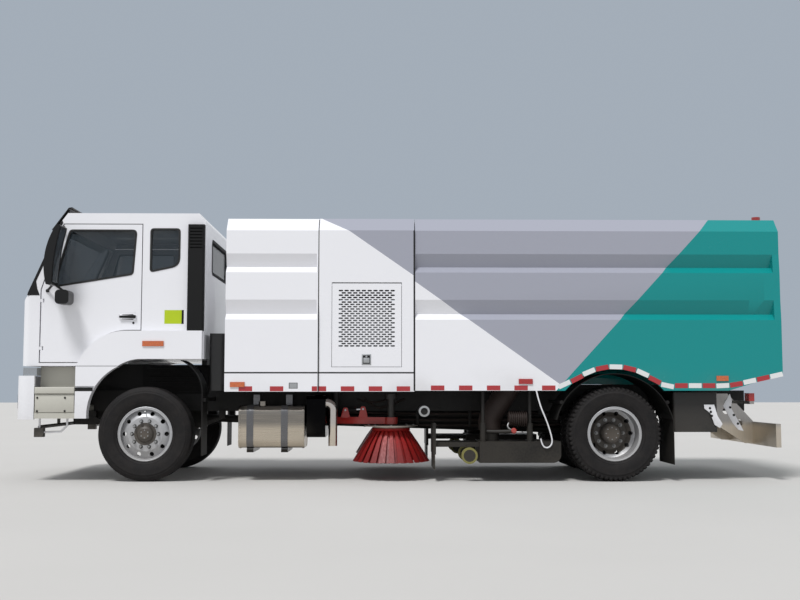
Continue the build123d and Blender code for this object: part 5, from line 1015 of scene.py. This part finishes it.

# %% [markdown]
# ## Door furniture and the cab's front
# A pull handle bridges a near-black patch that paints the shade of the cup in the door's skin, with
# the lock below it. Near-black strips behind the front's slots paint the shade inside them, and a
# pair of round reflectors sits in each headlamp.

# %% Fit handles and mirrors
DOOR_Y = 1.1500
CUP = rounded([(2.975, 1.787), (2.975, 1.85), (3.11, 1.846), (3.11, 1.793)], 0.015)
PULL = rounded([(2.948, 1.801), (2.948, 1.84), (3.132, 1.832), (3.132, 1.808)], 0.01)
LOCK = [(0, 0), (0.013, 0), (0.012, 0.004), (0.005, 0.005), (0, 0.003)]
tray = Tray().put(block((2.9395, 1.138, 1.7745), (3.1365, 1.1502, 1.8615), 0.002), cab_paint)
# A near-black patch on the white filler paints the shade of the cup behind the pull.
tray.put(slab(CUP, DOOR_Y, DOOR_Y + 0.0006), soot)
tray.put(slab(PULL, 1.158, 1.178, 0.004), gloss_black)
for x in (2.962, 3.116):
    tray.put(block((x - 0.013, 1.1495, 1.811), (x + 0.013, 1.161, 1.829), 0.003), gloss_black)
tray.put(turned(LOCK, (2.978, DOOR_Y, 1.752), 24), gloss_black)
tray.serve("handle_left", "left_door")

BOW, BOW_RADIUS = Vector((1.3069, 2.1516)), 2.4921
glass_line = [(BOW.x + BOW_RADIUS * cos(a), BOW.y + BOW_RADIUS * sin(a))
              for a in (0.012 + 0.0303 * k for k in range(9))]
tray = Tray().put(band(glass_line, -0.0015, 0.003, 1.25, 1.46, closed=False), mirror_silver)
for near, far in ((1.238, 1.25), (1.46, 1.472)):
    tray.put(band(glass_line, -0.005, 0.002, near, far, closed=False), gloss_black)
tray.serve("mirror_glass_left", "left_door")

# %% Back the grille and fill the headlamps
GRILLE_ZS, GRILLE_HALF = (1.45, 1.54, 1.63), 0.752
tray = Tray()
# Near-black strips behind the slots paint the shade inside them.
for z in GRILLE_ZS:
    tray.put(block((4.176, -0.742, z - 0.021), (4.184, 0.742, z + 0.021), 0.002), soot)
fin = block((4.182, -0.739, 1.429), (4.204, -0.734, 1.471), 0.001, 1)
fins = grid.run(fin, Columns=42, Rows=3, Across=(0.0, 0.0359, 0.0), Along=(0.0, 0.0, 0.09))
tray.put(fins, black_plastic)
for z in GRILLE_ZS:
    outline = panel(-GRILLE_HALF, z - 0.025, GRILLE_HALF, z + 0.025, 0.024)
    tray.put(band(outline, -0.006, 0.004, 4.206, 4.2145), gloss_black, ON_FRONT)
tray.put(patch((2.42, 1.1495, 1.741), (2.446, 1.1508, 1.897)), soot)
tray.put(patch((2.444, 1.1495, 1.743), (2.635, 1.151, 1.896)), sticker)
tray.serve("cab_front", "cab")

BOWL = [(0.0, 0.0), (0.03, 0.001), (0.056, 0.0035), (0.064, 0.0085), (0.068, 0.0085), (0.069, 0.0),
        (0.0, -0.002)]
BULB = [(0, 0.01), (0.016, 0.009), (0.02, 0.005), (0.02, 0.0), (0, -0.001)]
tray = Tray()
for y in (0.86, 1.0):
    place = at(4.2465, y, 0.88) @ FORWARDS
    tray.pair(turned(BOWL, steps=40), chrome, place)
    tray.pair(turned(BULB, steps=24), mirror_silver, place)
lamp_rim = panel(0.778, 0.788, 1.082, 0.972, 0.03)
tray.pair(band(lamp_rim, -0.014, 0.006, 4.244, 4.252), black_plastic, ON_FRONT)
PLATE_FACE = 4.2530
tray.put(block((4.2495, -0.26, 0.74), (PLATE_FACE, 0.26, 0.85), 0.0015), grey_plastic)
for y in (-0.245, 0.245):
    tray.put(turned(dome(0.009, 0.007, 0.004), steps=12), zinc, at(PLATE_FACE, y, 0.795) @ FORWARDS)
tray.serve("bumper_front", "chassis")

# %% [markdown]
# ## Boarding steps
# The steps are pressed from sheet: a lit recess, a tread plate with a rolled lip, and a lower panel
# held by two bolts at each end. The tread has rows of small raised drops, a grid pattern.

# %% Dress the steps
tray = Tray().pair(block((3.59, 1.226, 0.968), (4.024, 1.244, 1.04), 0.007, 3), grey_plastic)
drop = block((3.615, 1.04, 1.029), (3.64, 1.046, 1.034), 0.001, 1)
tray.pair(grid.run(drop, Columns=9, Rows=8, Across=(0.044, 0.0, 0.0), Along=(0.0, 0.023, 0.0)), zinc)
tray.pair(block((3.594, 1.206, 0.762), (4.02, 1.229, 0.96), 0.004), grey_plastic)
bolt = turned([(0, 0), (0.0115, 0), (0.0115, 0.004), (0.0085, 0.0075), (0, 0.008)], steps=12)
for x in (3.692, 3.995):
    for z in (0.777, 0.923):
        tray.pair(bolt, gloss_black, at(x, 1.2288, z))
# A near-black strip paints the shade in the gap along the fender leg's edge.
tray.pair(patch((3.392, 1.2298, 0.995), (3.5855, 1.2312, 1.035)), soot)
tray.serve("step_trim", "chassis")

# %% [markdown]
# ## Seams of the body
# The body is three modules, and black sealing strip fills the joints between them. The joint's
# line goes over the cross-section, so each strip is a band along the section's outline.

# %% Seal the body's joints
SECTION = [(1.2502, 1.0), (1.2502, 1.786), (1.2352, 2.008), (1.2352, 2.314), (1.2202, 2.525),
           (1.2202, 2.786), (1.1, 2.923)]
tray = Tray().pair(band(SECTION, -0.008, 0.0008, 0.9085, 0.9205, closed=False), seal_rubber, ON_FRONT)
for low, high, finish in (((0.922, 1.2485, 1.19), (1.946, 1.2508, 1.206), seal_rubber),
                          ((-0.1485, 1.2385, 1.19), (0.908, 1.2408, 1.206), seal_rubber),
                          ((-0.153, 1.235, 1.0), (-0.14, 1.2408, 2.786), seal_rubber),
                          ((1.14, 1.2485, 1.024), (1.236, 1.2508, 1.088), soot),
                          ((1.146, 1.25, 1.029), (1.23, 1.2516, 1.083), zinc)):
    tray.pair(patch(low, high), finish)
tray.serve("body_seams", "chassis")

# %% [markdown]
# ## Brush gear and underbody
# The gutter brush hangs on a swinging arm: a hydraulic cylinder lies along the arm on two
# brackets, and a flat guard covers the bristles. Hoses feed the arm from the frame. Below the cab
# hangs a bent bracket, and a ring closes the coupling in the body's side.

# %% Fit the brush gear
EYE = [(0, -0.024), (0.026, -0.024), (0.03, -0.02), (0.03, 0.02), (0.026, 0.024), (0, 0.024)]
BRACKET_FOOT = 0.690
foot, head = Vector((0.63, 0.655, 0.775)), Vector((0.425, 0.708, 0.788))
tray = Tray().put(tube([foot, foot.lerp(head, 0.62)], 0.028, sides=8), black_plastic)
tray.put(tube([foot.lerp(head, 0.6), head], 0.013, sides=8), chrome)
for eye in (foot, head):
    tray.put(turned(EYE, eye, 20), gloss_black)
for eye in (foot, head):
    bracket = rounded([(eye.x - 0.055, BRACKET_FOOT), (eye.x - 0.024, eye.z + 0.03),
                       (eye.x + 0.024, eye.z + 0.03), (eye.x + 0.055, BRACKET_FOOT)],
                      0.004, 0.022, 0.022, 0.004)
    for y in (eye.y - 0.036, eye.y + 0.028):
        tray.put(slab(bracket, y, y + 0.01, 0.0015), red_paint)
for eye in (foot, head):
    tray.put(turned(disc(0.012, -0.044, 0.044), eye, 6), zinc)
tray.serve("arm_cylinder_left", "left_arm", sharp=30)
GUARD = [(0.1, 0.6015), (0.296, 0.6), (0.304, 0.5985), (0.306, 0.6035), (0.3, 0.6075), (0.11, 0.609),
         (0.1, 0.6015)]
tray = Tray().put(turned(GUARD, BRUSH_AT, 64, "Z"), head_paint)
nut = turned(dome(0.011, 0.011, 0.008), (0, 0, 0.255), 6)
tray.put(ring.run(nut, Count=8), zinc, Matrix.Translation(BRUSH_AT + Vector((0, 0, 0.607))) @ UPRIGHT)
tray.serve("brush_guard_left", "left_head", sharp=30)

# %% Hang the underbody's small parts
BENT = ((4.002, 0.7), (4.002, 0.545), (3.99, 0.54), (3.764, 0.549), (3.698, 0.615), (3.698, 0.7))
THICK = [(0.43, 0.42, 0.93), (0.3, 0.44, 0.78), (0.12, 0.43, 0.82), (-0.06, 0.43, 0.9)]
SLIM = [(0.5, 0.425, 0.9), (0.34, 0.45, 0.85), (0.16, 0.44, 0.88), (0.02, 0.43, 0.96)]
tray = Tray().pair(tube([(x, 1.1, z) for x, z in BENT], 0.012), cab_paint)
tray.pair(hose(THICK, 0.014), hose_rubber)
tray.pair(hose(SLIM, 0.011), hose_rubber)
# A near-black disc inside the ring paints the shade in the coupling's mouth.
tray.pair(turned(disc(0.038, -0.01, -0.006), (-0.26, 1.1875, 0.772), 24), soot)
tray.pair(turned([(0.038, 0), (0.056, 0), (0.06, 0.004), (0.06, 0.012), (0.04, 0.014), (0.038, 0.01),
                  (0.038, 0)], (-0.26, 1.179, 0.772), 36), zinc)
tray.serve("underbody_fittings", "chassis")

# %% [markdown]
# ## Seats
# A driver's seat is foam under cloth. Each cushion starts as a slightly smaller form inside the
# CAD seat, is remeshed to even small faces and blown up gently as cloth, so it crowns between its
# edges. The sewn channels are added afterwards, because a simulation would smear them.

# %% Blow up the cushions
SEAT_Y = 0.55
CUSHION = [(2.725, 1.672), (2.76, 1.652), (3.235, 1.672), (3.236, 1.77), (3.15, 1.776), (2.79, 1.762)]
BACK = [(2.7, 1.672), (2.762, 1.7), (2.672, 2.318), (2.59, 2.312), (2.572, 2.25), (2.65, 1.72)]
REST = [(2.548, 2.346), (2.634, 2.356), (2.606, 2.5), (2.54, 2.49)]
BASE = [(2.752, 1.402), (3.168, 1.402), (3.186, 1.636), (3.24, 1.656), (2.735, 1.65), (2.752, 1.56)]
VOXEL, LAST_FRAME = 0.012, 14


def pad(outline, half_width, pressure):
    """One stuffed cushion from its side outline."""
    cushion = add("pad", slab(outline, SEAT_Y - half_width, SEAT_Y + half_width, 0.018))
    remesh = cushion.modifiers.new("even", "REMESH")
    remesh.mode, remesh.voxel_size = "VOXEL", VOXEL
    soft = cushion.modifiers.new("stuffing", "CLOTH").settings
    soft.quality = 4
    soft.use_pressure = True
    soft.uniform_pressure_force = pressure
    soft.effector_weights.gravity = 0.0
    soft.tension_stiffness = soft.compression_stiffness = 30
    soft.bending_stiffness = 4
    for frame_number in range(1, LAST_FRAME + 1):
        bpy.context.scene.frame_set(frame_number)
    made = plain(cushion)
    bpy.context.scene.frame_set(1)
    return made


tray = Tray()
for outline, half_width, pressure in ((CUSHION, 0.205, 3.0), (BACK, 0.205, 3.0), (REST, 0.12, 2.0)):
    tray.pair(pad(outline, half_width, pressure), seat_cloth)
for y in (SEAT_Y - 0.1, SEAT_Y + 0.1):
    tray.pair(hose([(2.8, y, 1.7655), (2.98, y, 1.7745), (3.19, y, 1.7765)], 0.004), seal_rubber)
for y in (SEAT_Y - 0.06, SEAT_Y + 0.06):
    tray.pair(tube([(2.625, y, 2.29), (2.6, y, 2.372)], 0.007), chrome)
tray.pair(slab(BASE, SEAT_Y - 0.19, SEAT_Y + 0.19, 0.01), black_plastic)
seats = tray.serve("seat_cushions", "cab", "seats", sharp=60)

# %% [markdown]
# ## Grooves that run on
# The pressed grooves of the body's sides run on almost to the ends of each panel. A prism with the
# groove's section, cut from a copy of the panel with a Boolean, lengthens them.

# %% Lengthen the grooves
GROOVES = (((1.22, 2.525), (1.16, 2.38), (1.235, 2.314)),
           ((1.235, 2.008), (1.175, 1.852), (1.25, 1.786)))
OUTSIDE = 1.300


def grooved(name, body, rear, front):
    """A copy of a panel piece whose grooves run on from rear to front."""
    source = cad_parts[name]
    shape = bmesh.new()
    shape.from_mesh(source.data)
    bmesh.ops.transform(shape, matrix=source.matrix_world, verts=shape.verts[:])
    bmesh.ops.remove_doubles(shape, verts=shape.verts[:], dist=1e-5)
    copy = add("panel", as_mesh(shape))
    prisms = Tray()
    for high, deep, low in GROOVES:
        prism = slab([high, deep, low, (OUTSIDE, low[1]), (OUTSIDE, high[1])], rear, front)
        prisms.pair(prism, body_paint, ON_FRONT)
    cutter = add("cutter", as_mesh(prisms.shape))
    cut = copy.modifiers.new("cut", "BOOLEAN")
    cut.operation, cut.solver, cut.object = "DIFFERENCE", "EXACT", cutter
    made = plain(copy)
    bpy.data.objects.remove(cutter)
    made.materials.clear()
    Tray().put(made, body_paint).serve(name + "_panels", body, name, sharp=12)


grooved("water_tank", "chassis", 0.936, 1.3)
grooved("hopper_shell", "hopper", -4.175, -3.9)

# %% [markdown]
# ## Under the body
# Between wheels and body hang the dark pipe runs, the frame's bolts, a shield beside the engine,
# an emergency hook, a red valve on its corrugated hose, and brackets for the rear guard, whose holes
# are near-black discs of painted shade. A near-black sheet behind the pipe runs paints the shade under the
# body.

# %% Pipes, shields and bolts
PIPES = ((0.415, 0.735), (0.4, 0.7), (0.415, 0.662), (0.395, 0.63), (0.41, 0.6))
tray = Tray()
for n, (y, z) in enumerate(PIPES):
    sag = 0.02 * (-1) ** n
    tray.pair(hose([(1.85, y, z), (0.9, y, z + sag), (-0.4, y, z - sag), (-1.9, y, z)], 0.014),
              (hose_rubber, frame_paint)[n % 2])
clamp = block((-0.016, 0.372, 0.575), (0.016, 0.436, 0.765), 0.006)
tray.pair(grid.run(clamp, Columns=6, Across=(0.62, 0.0, 0.0)), frame_paint, at(-1.45, 0, 0))
# A near-black sheet behind the pipe runs paints the shade under the body.
tray.pair(block((-1.7, 0.35, 0.585), (1.85, 0.362, 0.85), 0.004), soot)
tray.pair(block((2.24, 0.424, 0.96), (3.02, 0.434, 1.3), 0.004), soot)
shield_rib = block((2.3, 0.43, 0.985), (2.96, 0.44, 0.993), 0.003)
tray.pair(grid.run(shield_rib, Columns=1, Rows=6, Along=(0.0, 0.0, 0.055)), black_plastic)
BOLT = [(0, 0), (0.015, 0), (0.015, 0.003), (0.01, 0.003), (0.01, 0.012), (0, 0.013)]
rail_bolts = grid.run(turned(BOLT, (0, 0.4305, 0.8), 6), Columns=30, Rows=2, Across=(0.19, 0.0, 0.0),
                      Along=(0.0, 0.0, 0.15))
tray.pair(rail_bolts, frame_paint, at(-3.7, 0, 0))
tray.serve("frame_lines", "chassis")

HOOK_Y = 1.2495
hook = [at_pixel(*spot) for spot in ((535.5, 390.0), (538.5, 404), (545.5, 420), (550.5, 436), (551, 443),
                                     (547, 447.5), (541, 446), (539.5, 438))]
tray = Tray().pair(hose([(x, HOOK_Y, z) for x, z in hook], 0.0085), cab_paint)
tray.pair(turned(disc(0.017, -0.014, 0.011), (hook[0][0], 1.238, hook[0][1]), 20), zinc)
tray.serve("hook_rods", "hopper")

HALF_WIDTH, CORE, RIB, RIBS = 0.105, 0.06, 0.085, 9
ribs = []
for k in range(RIBS):
    y = -HALF_WIDTH + k * 2 * HALF_WIDTH / RIBS
    ribs += [(CORE, y + 0.004), (RIB, y + 0.008), (RIB, y + 0.014), (CORE, y + 0.019)]
ends = [(0, -HALF_WIDTH), (0.045, -HALF_WIDTH)], [(0.045, HALF_WIDTH), (0, HALF_WIDTH)]
x, z = at_pixel(518, 419)
tray = Tray().put(turned(ends[0] + ribs + ends[1], steps=32), hose_rubber, at(x, 1.12, z) @ FORWARDS)
x, z = at_pixel(513.5, 430.5)
tray.put(turned([(0, -0.02), (0.026, -0.02), (0.031, -0.012), (0.031, 0.014), (0.022, 0.024), (0, 0.026)],
                (x, 1.185, z), 24), red_paint)
tray.put(hose([(x + 0.02, 1.18, z + 0.01), (x + 0.055, 1.18, z + 0.02), (x + 0.075, 1.175, z + 0.07),
               (x + 0.03, 1.14, z + 0.1)], 0.009), zinc)
tray.put(hose([(x + 0.02, 1.18, z - 0.005), (x + 0.18, 1.17, z - 0.015), (x + 0.3, 1.12, z - 0.01)],
              0.022), frame_paint)
tray.serve("valve_and_hose", "chassis")

# %% Guard brackets with holes painted as shade, and rear end
PLATES = ([(-3.385, 0.845), (-3.5, 0.845), (-3.535, 0.72), (-3.59, 0.63), (-3.56, 0.585),
           (-3.5, 0.62), (-3.455, 0.75), (-3.39, 0.8)],
          [(-3.646, 0.83), (-3.725, 0.966), (-3.748, 0.887), (-3.736, 0.807), (-3.815, 0.66),
           (-3.873, 0.547), (-3.815, 0.558), (-3.748, 0.637)])
tray = Tray()
for outline, y in zip(PLATES, (1.156, 1.01)):
    tray.pair(slab(outline, y, y + 0.01, 0.002), cab_paint)
    near_top, far_top, far_foot, near_foot = (Vector(outline[i]) for i in (0, 1, -3, -2))
    # Three near-black discs on each plate paint the shade of its holes.
    for share in (0.25, 0.5, 0.78):
        x, z = (far_top.lerp(far_foot, share) + near_top.lerp(near_foot, share)) / 2
        tray.pair(turned(disc(0.014, 0, 0.0015), (x, y + 0.0095, z), 16), soot)
flap_bolt = turned(dome(0.012, 0.009, 0.007), steps=8)
for y in (0.5, 0.78, 1.06):
    tray.pair(flap_bolt, zinc, at(-4.23, y, 0.46) @ BACKWARDS)
tray.put(block((-4.234, -0.26, 0.395), (-4.2295, 0.26, 0.505), 0.0015), grey_plastic)
tray.serve("guard_brackets", "chassis")

tray = Tray().put(band(panel(-1.1, 1.205, 1.1, 2.775, 0.02), 0.0, 0.016, -4.2525, -4.248), seal_rubber,
                  ON_FRONT)
for y in (-0.82, 0.82):
    tray.put(block((-4.264, y - 0.055, 1.235), (-4.249, y + 0.055, 1.395), 0.005), zinc)
    tray.put(hose([(-4.268, y, 1.25), (-4.278, y, 1.32), (-4.268, y, 1.385)], 0.009), zinc)
rivet = turned(dome(0.008, 0.006, 0.004), steps=8)
rivet.transform(BACKWARDS)
rivets = grid.run(rivet, Columns=12, Rows=2, Across=(0.0, 0.175, 0.0), Along=(0.0, 0.0, 1.53))
tray.put(rivets, zinc, at(-4.25, -0.9625, 1.225))
tray.serve("door_fittings", "tailgate")
